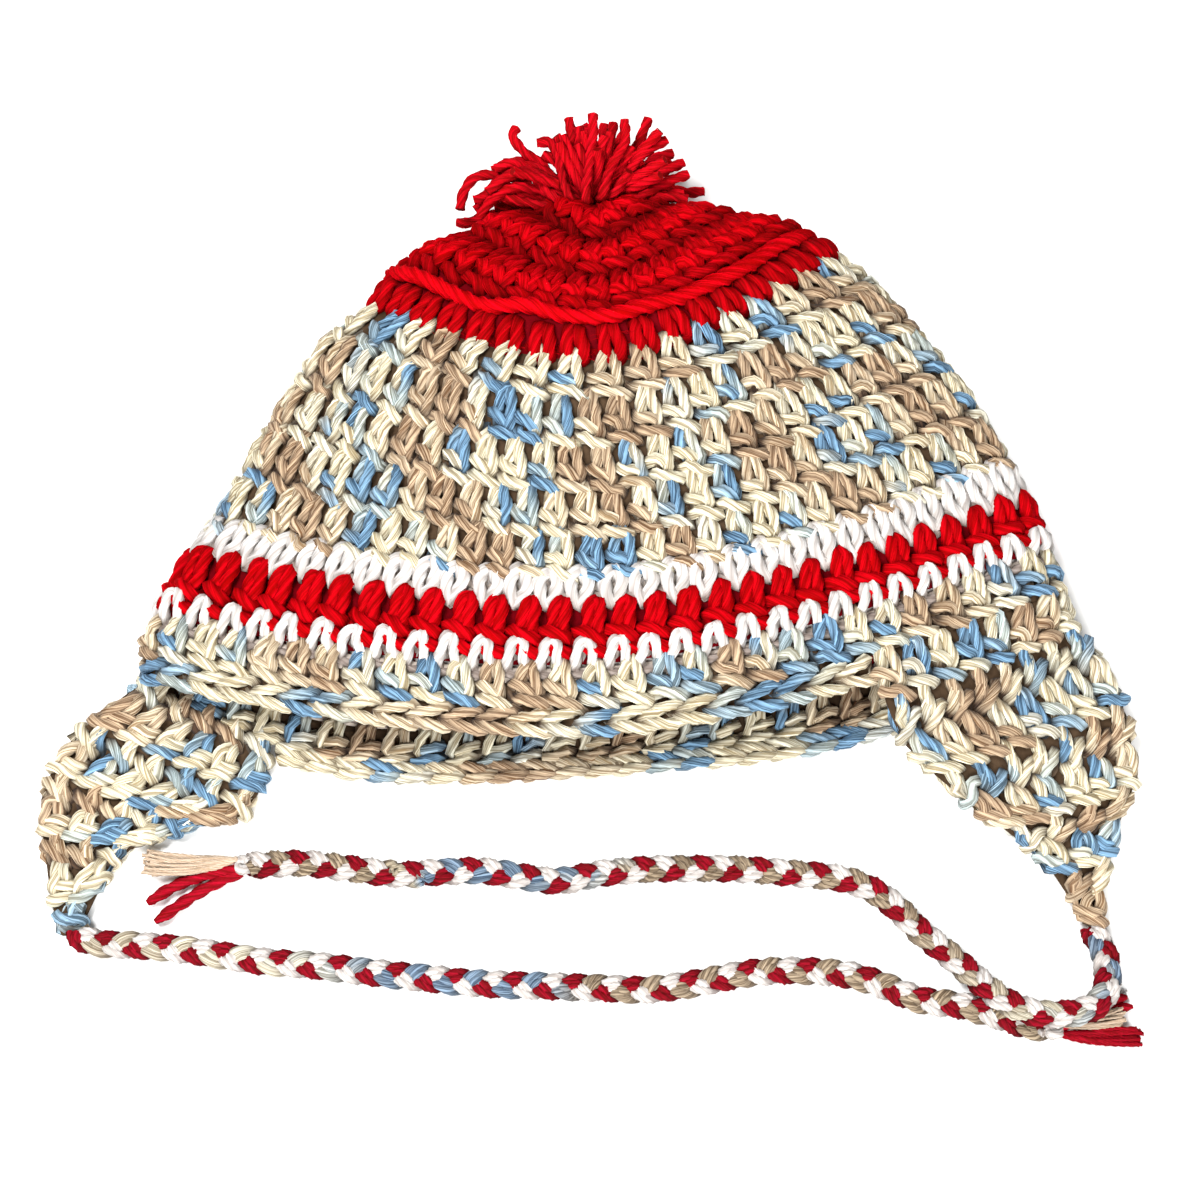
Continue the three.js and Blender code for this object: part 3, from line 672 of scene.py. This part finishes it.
# each stitch's yarn as points: u across and v down in hundredths of it, w outwards in tenths of a mm
stitches = {
    "half": [  # half double crochet: the head's front loop, a wrap, then two legs out of one hole
        (2, 74, 5), (24, 79, 20), (58, 87, 25), (88, 95, 17), (98, 94, -6), (70, 75, -19),
        (30, 50, -19), (2, 40, -4), (6, 42, 14), (28, 50, 25), (54, 60, 20), (70, 68, -2),
        (60, 42, -19), (54, -5, -17), (51, -22, -4), (56, -16, 10), (66, 6, 20), (71, 36, 23),
        (72, 62, 17), (62, 84, 1), (42, 78, -3), (28, 58, 6), (28, 34, 15), (33, 6, 20), (43, -15, 11),
        (47, -22, -4), (52, 15, -18), (80, 50, -18),
    ],
    "band": [  # the same stitch pulled tight into a drop
        (2, 72, 6), (28, 80, 20), (62, 90, 25), (94, 92, 13), (104, 84, -8), (70, 70, -18),
        (30, 50, -18), (2, 52, -3), (10, 52, 16), (38, 58, 30), (70, 66, 26), (90, 66, -2),
        (64, 36, -18), (58, 2, -16), (52, -10, 0), (56, -10, 14), (64.5, 6, 23), (66, 32, 23),
        (64, 60, 16), (58, 84, 3), (42, 84, 1), (36, 60, 12), (34, 32, 22), (35.5, 6, 23),
        (44, -10, 14), (48, -10, 0), (52, 18, -17), (78, 58, -17),
    ],
    "single": [  # single crochet: an arch whose legs meet again below
        (-4, 62, -2), (20, 74, 6), (52, 84, 8), (86, 76, 4), (100, 60, -8), (72, 35, -17), (56, 0, -13),
        (50, -18, 3), (62, -20, 15), (75, -4, 20), (77.5, 26, 19), (70, 60, 15), (58, 92, 12),
        (50, 102, 2), (42, 92, 12), (29, 60, 15), (22.5, 26, 19), (25, -4, 20), (38, -20, 15),
        (47, -17, 3), (50, 20, -15), (82, 55, -15),
    ],
    "arch": [  # single crochet with its legs apart
        (-4, 66, -6), (20, 70, -2), (52, 72, 0), (86, 70, -2), (100, 60, -8), (72, 35, -17),
        (56, 0, -13), (50, -16, 10), (56, -26, 30), (65, -20, 36), (72, 0, 32), (76.5, 24, 19),
        (78, 44, 0), (50, 60, -15), (22, 44, 0), (23.5, 24, 19), (28, 0, 32), (35, -20, 36),
        (44, -26, 30), (48, -16, 10), (50, 20, -15), (82, 55, -15),
    ],
    "post": [  # the red side row: two upright legs in each stitch
        (5, 70, -8), (30, 80, -10), (60, 85, -10), (90, 80, -12), (72, 42, -18), (66, 4, -14),
        (66, -14, 0), (69, 0, 14), (74, 30, 20), (75, 70, 20), (70, 100, 12), (52, 110, 4),
        (36, 100, 12), (32, 70, 20), (34, 30, 20), (38, 0, 14), (40, -14, 0), (45, 20, -16),
        (80, 60, -16),
    ],
    "edge": [  # a chain lying along the brim's end
        (0, 58, -2), (22, 46, 14), (75, 20, 20), (122, 2, 12), (138, 26, -4), (120, 60, -12),
        (116, 94, 0), (75, 98, 15), (28, 78, 14), (2, 62, -1), (30, 50, -15), (80, 50, -15),
    ],
}
stitchUnits = (100, 100, 10)
creviceShade = {
    "from": 0.5, "over": 1.4,  # painted shade: yarn deep in the fabric is painted darker, by mm from the fabric's middle
    "creaseShade": 0.62, "darkest": 0.12,  # painted shade also darkens a rolled row's crease
}
upperShare = (0.2, 0.8)  # the part of a round away from the lower layer, with more points
loosen = (0.035, 0.03, 0.16)  # how unevenly the yarn lies: across, down the row and outwards
loosenStitch = (0.03, 0.02)  # and how unevenly whole stitches lie, across and down
frontFrom = -0.5  # mm; yarn further out than this has more points
turnedIn = ([0.0, 0.15, 2.85, 3.0], [-1, 1, 1, -1])  # the stitches' face by q, inwards on the lower layer


def stitchedRow(kind, count, random, mirror=False, skew=0.0, steps=(2, 1), even=1.0, span=(0, 1)):
    shape = np.array(stitches[kind]) / stitchUnits
    points = []
    fine = []
    for i in range(count):
        fine += [span[0] <= (i + 0.5) / count <= span[1]] * len(shape)
        one = shape.copy()
        one[:, 0] += i + random.normal(0, loosenStitch[0]) + skew * one[:, 1]
        one[:, 1] += random.normal(0, loosenStitch[1])
        one += random.normal(0, even, one.shape) * loosen
        points.append(one)
    points = np.vstack(points)
    isFront = points[:, 2] > frontFrom
    steps = np.where(fine, np.where(isFront | np.roll(isFront, -1), *steps), 1)
    if mirror:
        points[:, 0] = count - points[:, 0]
        points[:, 2] *= -1
    return smoothLine(points, steps=steps)


# the share of a yarn point's colour left free of the painted shade, by how far it lies out of the fabric's
# middle
def outerShare(out):
    return np.clip((np.abs(out) - creviceShade["from"]) / creviceShade["over"], 0.0, 1.0)


def ringRow(row, random):
    start, height, roll = row["from"], row["height"], row.get("roll", 0.0)
    steps, even = ((2, 1), 1.0) if row["kind"] == "half" else ((3, 2), 0.5)
    line = stitchedRow(row["kind"], row["count"], random, skew=row.get("skew", 0.0),
                       steps=steps, even=even, span=upperShare)
    share, q = placesByLength(start + 0.6 * height)
    places = np.interp((line[:, 0] + row.get("slide", 0.0)) / row["count"] % 1.0, share, q)
    rows = start + height * line[:, 1]
    if "lower" in row:
        # the lower layer shows its inner side, so there the stitches' face is turned in
        turned = np.interp(np.mod(places, 4.0), *turnedIn)
        line[:, 2] *= turned
        start, height = row["lower"]
        rows += (start + height * line[:, 1] - rows) * (1 - turned) / 2
    points, out = fabricPlace(places, np.minimum(rows, lastRow + pastEnd["rows"]))
    # a rolled row stands up in its middle and falls off into a crease at each side, which takes painted
    # shade
    hump = np.sin(np.pi * np.clip(line[:, 1], 0, 1)) - 1
    creaseShade = np.maximum(creviceShade["darkest"], 1 + creviceShade["creaseShade"] * roll * hump)
    points = points + out * (line[:, 2] + roll * (hump + 0.5))[:, None]
    # returns the "outer" share that sets the painted shade, lowered by a row's "shade" and in the creases
    return points, outerShare(line[:, 2]) * row.get("shade", 1.0) * creaseShade


# the dark backing sheets behind the yarn, which show as painted shade in the gaps
shadeBacking = {
    "half": 0.45, "lowest": 0.3,  # half its thickness and its lowest point, in mm
    "around": 120, "rowSteps": 3,  # columns of a round, steps of a row
    "stripColumns": 40, "stripRows": 4,  # columns of a strip for each q, and its rows
    "flapColumns": 24, "flapRim": 0.02,  # columns of a flap, and its margin at each side
}


def gridMesh(layers, closed):
    rowCount, columnCount = layers.shape[:2]
    points = (layers.reshape(-1, 3) + toFrame) * mm
    faces = []
    for r in range(rowCount):
        first, second = r * columnCount, (r + 1) % rowCount * columnCount
        for c in range(columnCount if closed else columnCount - 1):
            after = (c + 1) % columnCount
            faces.append((first + c, first + after, second + after, second + c))
    mesh = bpy.data.meshes.new("shadeBacking")
    mesh.from_pydata([tuple(p) for p in points], [], faces)
    return mesh


def shadeBackingShell(place, across, rowSteps, yarn, closed=False):
    layers = []
    for side in (shadeBacking["half"], -shadeBacking["half"]):
        for v in rowSteps if side > 0 else rowSteps[::-1]:
            points, out = place(across, np.full(len(across), v))
            points = points + out * side
            points[:, 2] = np.maximum(points[:, 2], shadeBacking["lowest"])
            layers.append(points)
    mesh = gridMesh(np.array(layers), closed)
    mesh.materials.append(shadeBackingMaterials[yarn])
    work = bmesh.new()
    work.from_mesh(mesh)
    bmesh.ops.remove_doubles(work, verts=work.verts, dist=1e-6)
    bmesh.ops.recalc_face_normals(work, faces=work.faces)
    work.to_mesh(mesh)
    work.free()
    for polygon in mesh.polygons:
        polygon.use_smooth = True
    return mesh


def shadeBackingRing(start, end, yarn):
    rowSteps = np.linspace(start, end, max(2, int((end - start) * shadeBacking["rowSteps"])) + 1)
    around = np.linspace(0, 4, shadeBacking["around"], endpoint=False)
    return shadeBackingShell(fabricPlace, around, rowSteps, yarn, closed=True)


def ropeLine(rope):
    share, q = placesByLength(rope["row"])
    places = np.interp(np.linspace(0, 1, rope["points"], endpoint=False), share, q)
    row = np.full(rope["points"], rope["row"])
    out = unitRows(fabricOut(places, row - rope["lean"]) + fabricOut(places, row + rope["lean"]))
    points = fabricPoint(places, row) + out * rope["lift"]
    points += np.random.RandomState(5).normal(0, rope["uneven"], points.shape)
    for _ in range(rope["evened"]):
        points = (np.roll(points, 1, axis=0) + 2 * points + np.roll(points, -1, axis=0)) / 4
    return smoothLine(points, closed=True, steps=2)


def knittedPiece(name, look, seed):
    random = np.random.RandomState(seed)
    colour = look.get("colourStart", 0.0)
    lowest = look.get("sizes", yarnSizes)["radius"] + clearance
    paths = []
    for row in look["rows"]:
        points, outer = ringRow(row, random)
        path = yarnPath(points, colour, lowest=lowest, outer=outer)
        colour = path["along"][-1] + random.uniform(0, yarnTwist["period"])
        paths.append(path)
    meshes = [sweptYarn(paths, look["yarn"], look.get("sizes"))]
    if "fuzz" in look:
        hairs = fuzzPaths(paths, yarnSizes["radius"], look["fuzz"], random)
        meshes.append(sweptYarn(hairs, look["yarn"], fuzz["sizes"]))
    if "rope" in look:
        rope = look["rope"]
        line = yarnPath(ropeLine(rope), lowest=rope["sizes"]["radius"] + clearance)
        meshes.append(sweptYarn([line], look["yarn"], rope["sizes"]))
    meshes.append(shadeBackingRing(*look["shadeBacking"], look["yarn"]))
    return finishedPiece(name + "_yarn", meshes, [name])


report("crown")
crown = {
    "yarn": "red", "slot": "red_yarn", "shadeBacking": (0, 4), "sizes": {"radius": 2.15}, "fuzz": 900,
    "rows": [
        {"kind": "half", "count": 13, "from": 0.12, "height": 0.88, "roll": 2.4},
        {"kind": "half", "count": 26, "from": 1.04, "height": 0.88, "roll": 1.4},
        {"kind": "half", "count": 38, "from": 2.0, "height": 0.84, "roll": 1.0},
        # painted shade: the post row's yarn is painted darker than the disc's
        {"kind": "post", "count": 36, "from": 3.3, "height": 0.7, "skew": 0.1, "shade": 0.68},
    ],
    "rope": {  # the crown's ridge, which leans on the rows at both sides
        "row": 2.98, "points": 110, "lift": 2.3, "uneven": 1.5, "evened": 7, "lean": 0.4,
        "sizes": {"radius": 2.5, "twist": 19.0},
    },
}
knittedPiece("crown_red", crown, 3)

report("body")
body = {
    "yarn": "tweed", "slot": "tweed_yarn", "shadeBacking": (4, 9), "colourStart": 90.0,
    "rows": [
        {"kind": "half", "count": count, "from": 4.0 + i, "height": 1.0, "slide": 0.3 * i, "skew": 0.12}
        for i, count in enumerate((36, 50, 54, 58, 60))
    ],
}
knittedPiece("body_tweed", body, 7)

report("band")
bandRounds = {  # "lower" gives a row's place and height on the lower layer
    "white_round_upper": {
        "yarn": "white", "slot": "white_yarn", "shadeBacking": (9, 10), "sizes": {"radius": 2.1},
        "rows": [{"kind": "single", "count": 60, "from": 9.0, "height": 1.0, "skew": 0.1}],
    },
    "red_band": {
        "yarn": "red", "slot": "red_yarn", "shadeBacking": (10, 11.25), "sizes": {"radius": 2.12},
        # painted shade: the band's drops are painted darker
        "rows": [{"kind": "band", "count": 60, "from": 9.98, "height": 1.02, "slide": 0.5, "skew": 0.05,
                  "shade": 0.8}],
    },
    "white_round_lower": {
        "yarn": "white", "slot": "white_yarn", "shadeBacking": (11.4, 12), "sizes": {"radius": 1.62},
        "rows": [{"kind": "arch", "count": 60, "from": 11.0, "height": 1.0, "slide": 0.35, "skew": 0.1}],
    },
    "brim_tweed": {
        "yarn": "tweed", "slot": "tweed_yarn", "shadeBacking": (12, 13), "colourStart": 300.0,
        "rows": [{"kind": "half", "count": 60, "from": 11.42, "height": 1.55, "slide": 0.8, "skew": 0.12,
                  "lower": (12.05, 1.4)}],
    },
}
for seed, (name, look) in enumerate(bandRounds.items(), 11):
    knittedPiece(name, look, seed)

report("edging")
edgings = {
    "edging_front": {
        "from": 1.206, "to": 2.45, "colourStart": 410.0, "width": 8.8, "face": 1, "rows": (13.05, 0.9),
    },
    "edging_back": {
        "from": 3.113, "to": 4.28, "colourStart": 150.0, "width": 8.6, "face": -1, "rows": (13.45, 0.6),
    },
}
edging = {
    "row": 13.5,  # the row along which its stitches are counted
    "first": 12.9,  # where they start, as a row number
    "shadeBacking": (13, 13.8),
    "light": ([0.6, 0.9], [0.0, 1.0]),  # its outer rim is kept free of the painted shade, by v
}


def edgedPiece(name, look, seed):
    random = np.random.RandomState(seed)
    q = np.linspace(look["to"], look["from"], 400)
    lengths = pathLengths(fabricPoint(q, np.full(len(q), edging["row"])))
    count = int(round(lengths[-1] / look["width"]))
    line = stitchedRow("edge", count, random)
    line[:, 0] = np.clip(line[:, 0], 0.0, count)
    places = np.interp(line[:, 0] / count, lengths / lengths[-1], q)
    start, height = look["rows"]
    rows = np.clip(start + height * line[:, 1], edging["first"], lastRow + pastEnd["edging"])
    points, out = fabricPlace(places, rows)
    points = points + out * look["face"] * line[:, 2][:, None]
    outer = np.maximum(outerShare(line[:, 2]), np.interp(line[:, 1], *edging["light"]))
    meshes = [sweptYarn([yarnPath(points, look["colourStart"], outer=outer)], "tweed")]
    columns = max(6, int(abs(look["to"] - look["from"]) * shadeBacking["stripColumns"]))
    across = np.linspace(look["from"], look["to"], columns)
    rowSteps = np.linspace(*edging["shadeBacking"], shadeBacking["stripRows"])
    meshes.append(shadeBackingShell(fabricPlace, across, rowSteps, "tweed"))
    return finishedPiece(name + "_yarn", meshes, [name])


for seed, (name, look) in enumerate(edgings.items(), 21):
    edgedPiece(name, look, seed)

report("earflaps")
flaps = {
    "earflap_left": {
        "from": 2.62, "to": 3.107, "outer": 1, "tipColour": 2945.0,
        "rows": [  # both ends of each row, in mm
            (-129.5, -23.5, 10, -90, -42, 3), (-138, -29.5, 8, -91.5, -50, 3), (-145, -36, 6, -95.5, -56, 3),
            (-149, -43, 4.5, -105, -58, 3), (-151.5, -51, 3.5, -114, -60.5, 3),
            (-150.5, -60, 3, -123, -63, 3),
            (-148.5, -69, 3, -130, -69, 3), (-146.5, -79, 3, -134, -77, 3), (-143, -88, 3, -137, -84, 3),
        ],
    },
    "earflap_right": {
        "from": 1.2, "to": 0.45, "outer": -1, "tipColour": 2575.0,
        "rows": [
            (74, -32, 30, 130, -6, 13), (78, -42, 28, 137, -15, 12), (87, -50, 24, 142, -27, 11),
            (96, -56, 19, 144, -38, 9), (105, -61, 14, 144, -48, 7), (113, -66, 10, 140, -57, 5),
            (120, -72, 7, 137, -66, 4), (125, -79, 5, 134, -75, 3.5), (128, -85, 4, 132.5, -84, 3.2),
        ],
    },
}
flap = {
    "width": 8.2,  # mm of a stitch
    "bow": 1.5,  # mm that a row's middle is nearer the tip than its ends
    "down": 0.15, "across": 0.04,  # steps to either side that give the flap's face
    "overshoot": 0.3,  # share of a stitch's reach kept past the flap's sides
    "light": ([0.1, 0.5], [1.0, 0.0]),  # yarn that turns round a side is kept free of the painted shade
}


def flapPoint(look, w, i):
    w, i = np.broadcast_arrays(np.asarray(w, float), np.asarray(i, float))
    q = np.linspace(look["from"], look["to"], 200)
    brim = fabricPoint(q, np.full(len(q), 13.0))
    lengths = pathLengths(brim)
    inside = np.clip(w, 0, 1)
    start = np.column_stack([np.interp(inside, lengths / lengths[-1], brim[:, k]) for k in range(3)])
    table = np.array(look["rows"], float)
    lean = table[-1][:3] - table[0][:3]
    lean[2] = 0
    lean /= np.linalg.norm(lean)

    def rowPoint(k):
        row = table[np.clip(k, 0, len(table) - 1)]
        bow = (flap["bow"] * 4 * w * (1 - w))[:, None]
        return row[:, :3] * (1 - w)[:, None] + row[:, 3:] * w[:, None] + lean * bow

    k = np.clip(np.floor(i).astype(int), 0, len(table) - 1)
    upper = np.where((k == 0)[:, None], start, rowPoint(k - 1))
    return upper + (rowPoint(k) - upper) * (i - k)[:, None]


def flapOut(look, w, i):
    down = flapPoint(look, w, i + flap["down"]) - flapPoint(look, w, np.maximum(i - flap["down"], 0))
    across = flapPoint(look, w + flap["across"], i) - flapPoint(look, w - flap["across"], i)
    return unitRows(np.cross(across, down)) * look["outer"]


def flapPiece(name, look, seed):
    random = np.random.RandomState(seed)
    rowCount = len(look["rows"])

    def place(w, i):
        return flapPoint(look, w, i), flapOut(look, w, i)

    lines = []
    rims = []
    for r in range(rowCount):
        share = np.linspace(0, 1, 30)
        length = pathLengths(flapPoint(look, share, np.full(len(share), r + 0.6)))[-1]
        count = max(1, int(round(length / flap["width"])))
        line = stitchedRow("half", count, random, mirror=r % 2 == 1, steps=(3, 3))
        aside = line[:, 0] / count
        inside = np.clip(aside, 0.0, 1.0)
        line[:, 0] = inside + flap["overshoot"] * (aside - inside)
        rims.append(np.interp(np.minimum(inside, 1 - inside) * count, *flap["light"]))
        line[:, 1] = r + line[:, 1]
        lines.append(line)
    line = np.vstack(lines)
    points, out = place(line[:, 0], np.clip(line[:, 1], 0.0, rowCount + 0.1))
    points = points + out * line[:, 2][:, None]
    start = look["tipColour"] - pathLengths(points)[-1]
    outer = np.maximum(outerShare(line[:, 2]), np.concatenate(rims))
    meshes = [sweptYarn([yarnPath(points, start, outer=outer)], "tweed")]
    share = np.linspace(shadeBacking["flapRim"], 1 - shadeBacking["flapRim"], shadeBacking["flapColumns"])
    meshes.append(shadeBackingShell(place, share, np.linspace(0, rowCount, 2 * rowCount + 1), "tweed"))
    return finishedPiece(name + "_yarn", meshes, [name])


for seed, (name, look) in enumerate(flaps.items(), 31):
    flapPiece(name, look, seed)

report("pompom")
pompom = {
    "root": (-1.4, 119.5, 19.0),
    "floor": 1.7,
    "outer": [  # the strands that stand out at the edge, in mm
        [(-13, 118, 22), (-23, 126, 21), (-31, 128, 20), (-36, 127, 20), (-39, 123, 19), (-40, 118, 18)],
        [(-14, 119, 16), (-25, 119, 14), (-33, 119, 12), (-38, 118, 10), (-41, 119, 8)],
        [(-13, 116, 24), (-23, 118, 23), (-30, 121, 21), (-36, 120, 20)],
        [(-14, 122, 14), (-23, 127, 13), (-30, 129, 11), (-35, 125, 10)],
        [(-12, 117, 26), (-19, 125, 25), (-24, 129, 25), (-30, 128, 24)],
        [(-11, 121, 20), (-16, 131, 20), (-21, 134, 21), (-25, 139, 22), (-24, 142, 22)],
        [(-12, 125, 12), (-16, 134, 11), (-23, 137, 11), (-28, 137, 10)],
        [(-9, 118, 27), (-12, 130, 27), (-14, 135, 26), (-18, 135, 26)],
        [(-8, 120, 22), (-9, 131, 23), (-8, 138, 23), (-9, 144, 24)],
        [(-7, 125, 14), (-7, 134, 15), (-7, 142, 15), (-3, 146, 16)],
        [(-4, 117, 28), (-3, 127, 29), (-2, 135, 29), (-2, 142, 30)],
        [(-2, 122, 20), (-1, 132, 19), (1, 139, 19), (1, 145, 18)],
        [(0, 126, 12), (2, 136, 12), (3, 143, 12), (4, 149, 12)],
        [(1, 118, 28), (3, 126, 28), (7, 134, 28), (7, 141, 28)],
        [(3, 122, 20), (8, 132, 20), (11, 138, 20), (14, 146, 20)],
        [(4, 119, 26), (9, 127, 26), (13, 132, 26), (19, 136, 26)],
        [(6, 123, 18), (12, 131, 17), (16, 135, 17), (21, 137, 16)],
        [(9, 120, 22), (15, 126, 21), (19, 130, 19), (24, 133, 18)],
        [(10, 118, 24), (17, 123, 23), (21, 125, 23), (25, 127, 22)],
        [(12, 122, 16), (19, 126, 15), (25, 126, 13), (30, 127, 12)],
        [(12, 119, 22), (19, 120, 22), (25, 119, 22)],
        [(2, 125, 14), (7, 132, 13), (11, 139, 11), (12, 145, 10)],
        [(-6, 127, 10), (-5, 136, 9), (-5, 142, 9), (-6, 148, 8)],
        [(7, 126, 10), (13, 132, 9), (18, 138, 9), (21, 137, 8)],
        [(-12, 117, 20), (-22, 116, 20), (-30, 114, 19), (-35, 113, 17)],
        [(-11, 116, 16), (-20, 113, 15), (-28, 111, 14), (-33, 109, 12)],
        [(-13, 120, 24), (-24, 122, 24), (-31, 118, 23), (-34, 114, 21)],
        [(-12, 122, 17), (-22, 123, 16), (-31, 123, 15), (-36, 120, 14)],
        [(-11, 122, 25), (-20, 126, 26), (-27, 124, 26), (-32, 120, 25)],
        [(-10, 124, 21), (-18, 130, 21), (-26, 131, 20), (-31, 130, 19)],
    ],
    "rings": [  # shorter strands between them: tilt from +Y, how many, reach, first angle
        {"tilt": 14, "count": 4, "reach": 17, "turn": 20},
        {"tilt": 36, "count": 9, "reach": 19, "turn": 0},
        {"tilt": 58, "count": 16, "reach": 21, "turn": 12},
        {"tilt": 80, "count": 20, "reach": 22, "turn": 4},
        {"tilt": 98, "count": 16, "reach": 19, "turn": 10},
    ],
    "rootSpread": 1.2,  # mm from the root to where the shorter strands start
    "rootShare": 0.25,  # and the longer ones' share of the way to their first point
    "uneven": {"turn": 0.3, "tilt": 9, "reach": 0.15, "bend": 0.25},
    "thick": ([0, 0.15, 0.9, 1], [0.7, 1.0, 1.0, 0.95]),
    "sizes": {"radius": 1.66, "twist": 18.0, "plyDepth": 0.82},
    "shade": ([0.0, 0.25, 0.6], [0.3, 0.7, 1.0]),  # painted shade, darker towards the root
    "furthest": 143.0,
    "lean": 0.5,  # the strands on top lean away from the crown
    "flatten": 0.75,  # the tuft is lower than it is wide
}


def pompomPiece(seed):
    random = np.random.RandomState(seed)
    root = np.array(pompom["root"])
    uneven = pompom["uneven"]
    strands = []
    for strand in pompom["outer"]:
        first = root + (np.array(strand[0]) - root) * pompom["rootShare"]
        strands.append(np.array([first] + strand, float))
    for ring in pompom["rings"]:
        for k in range(ring["count"]):
            place = k + random.uniform(-uneven["turn"], uneven["turn"])
            turn = math.radians(ring["turn"] + 360 * place / ring["count"])
            lean = 1 - pompom["lean"] * max(0.0, math.sin(turn)) ** 2
            tilt = math.radians(ring["tilt"] * lean + random.uniform(-uneven["tilt"], uneven["tilt"]))
            way = np.array([math.sin(tilt) * math.cos(turn), math.cos(tilt),
                            math.sin(tilt) * math.sin(turn) * pompom["flatten"]])
            reach = ring["reach"] * random.uniform(1 - uneven["reach"], 1 + uneven["reach"])
            bend = random.uniform(-uneven["bend"], uneven["bend"], 3)
            shares = np.linspace(0, 1, 5)[:, None]
            strand = root + way * (pompom["rootSpread"] + reach * shares) + bend * reach * shares ** 2
            strand[:, 1] = np.minimum(strand[:, 1], pompom["furthest"])
            strands.append(strand)
    paths = []
    for strand in strands:
        line = smoothLine(strand, steps=4)
        share = np.linspace(0, 1, len(line))
        thick = np.interp(share, *pompom["thick"])
        outer = np.interp(share, *pompom["shade"])
        start = random.uniform(0, 500)
        paths.append(yarnPath(line, start, thick, lowest=pompom["floor"], outer=outer))
    yarn = sweptYarn(paths, "tuftRed", pompom["sizes"])
    return finishedPiece("pompom_yarn", [yarn], ["pompom"])


pompomPiece(41)

report("loose ends")
looseEnds = {  # each bundle: yarn, end, shift of its root, count, radius, fan and bend
    "tie_left_ends": {
        "start": (119.0, -112.6, 2.8),
        "bundles": [
            ("tailRed", (142, -114.6, 1.8), (0, -1, 0), 16, 0.62, 4.4, 0.8),
            ("tailTan", (137.5, -109.6, 2), (0, 1.2, 0.8), 30, 0.4, 4.6, 0.6),
            ("tailRed", (139.5, -105.4, 1.8), (0, 0, 0), 2, 1.5, 2.6, -1),
            ("braidWhite", (138.5, -102, 1), (0, 0, 0), 7, 0.25, 3, 0),
        ],
        "knot": {"count": 5, "radius": 1.5, "reach": 2.2},
    },
    "tie_right_ends": {
        "start": (-95.6, -69.2, 2.8),
        "bundles": [
            ("tailTan", (-121.5, -68.6, 2.6), (-1.6, 1.5, 0.8), 64, 0.52, 6.8, -1),
            ("tailRed", (-121, -79.2, 1.9), (-1, -0.8, 0), 1, 1.8, 0, 1.8),
            ("tailRed", (-118.5, -84.4, 1.9), (-0.5, -1.6, -0.5), 1, 1.8, 0, 1),
            ("braidWhite", (-106, -73.2, 0.6), (0, 0, 0), 10, 0.3, 2.4, 0.4),
        ],
        "knot": {"count": 6, "radius": 1.35, "reach": 2.0},
    },
}
ends = {
    "colourStart": 330.0,
    "bundleFrom": 4,  # yarns from which a bundle's plies differ, by these:
    "lift": (-1.0, 2.2), "reach": (0.93, 1.04), "wave": 0.22,
    "wholeFrom": 1,  # mm of radius from which an end is a whole yarn, with a round end
    "round": ([0, 0.9, 0.95, 1.0], [1, 1, 0.85, 0.45]),
    "shares": (0.0, 0.2, 0.45, 0.7, 1.0),
    "wholeTwist": 20.0, "plyTwist": 9.0,
    "knotYarn": "braidWhite",
}


def bundleMesh(start, random, yarn, end, shift, count, radius, fan, bend):
    start = start + np.array(shift)
    way = np.array(end) - start
    aside = unitRows(np.cross(way, (0, 0, 1))[None])[0]
    isBundle = count >= ends["bundleFrom"]
    isWhole = radius > ends["wholeFrom"]
    paths = []
    for k in range(count):
        place = 0.0 if count == 1 else 2 * k / (count - 1) - 1
        lift = random.uniform(*ends["lift"]) if isBundle else 0.0
        reach = random.uniform(*ends["reach"]) if isBundle else 1.0
        wave = random.normal(0, ends["wave"], 3)
        points = []
        for share in ends["shares"]:
            spread = place * 0.5 * fan * share ** 0.6 + bend * math.sin(math.pi * share)
            point = start + way * reach * share + aside * spread + wave * math.sin(7 * share + k)
            point[2] = max(radius + 0.1, point[2] + lift * math.sin(2.2 * share))
            points.append(point)
        line = smoothLine(points, steps=5)
        thick = np.interp(np.linspace(0, 1, len(line)), *ends["round"]) if isWhole else None
        colour = ends["colourStart"] + random.uniform(0, 20)
        paths.append(yarnPath(line, colour, thick, lowest=radius + clearance))
    twist = ends["wholeTwist"] if isWhole else ends["plyTwist"]
    return sweptYarn(paths, yarn, {"radius": radius, "twist": twist})


def knotMesh(knot, start, random):
    paths = []
    for _ in range(knot["count"]):
        turn = random.uniform(0, 2 * math.pi)
        points = []
        for step in range(6):
            angle = turn + step * 1.15
            point = start + knot["reach"] * np.array([0.75 * math.cos(angle), 0.8 * math.sin(angle), 0.0])
            point[2] = start[2] + 0.5 * knot["reach"] * math.sin(1.7 * angle) + random.uniform(0, 0.8)
            points.append(point)
        paths.append(yarnPath(smoothLine(points, steps=3), lowest=knot["radius"] + clearance))
    return sweptYarn(paths, ends["knotYarn"], {"radius": knot["radius"]})


def endsPiece(name, look, seed):
    random = np.random.RandomState(seed)
    start = np.array(look["start"])
    meshes = [bundleMesh(start, random, *bundle) for bundle in look["bundles"]]
    meshes.append(knotMesh(look["knot"], start, random))
    return finishedPiece(name + "_yarn", meshes, [name])


for seed, (name, look) in enumerate(looseEnds.items(), 51):
    endsPiece(name, look, seed)

report("sizes")
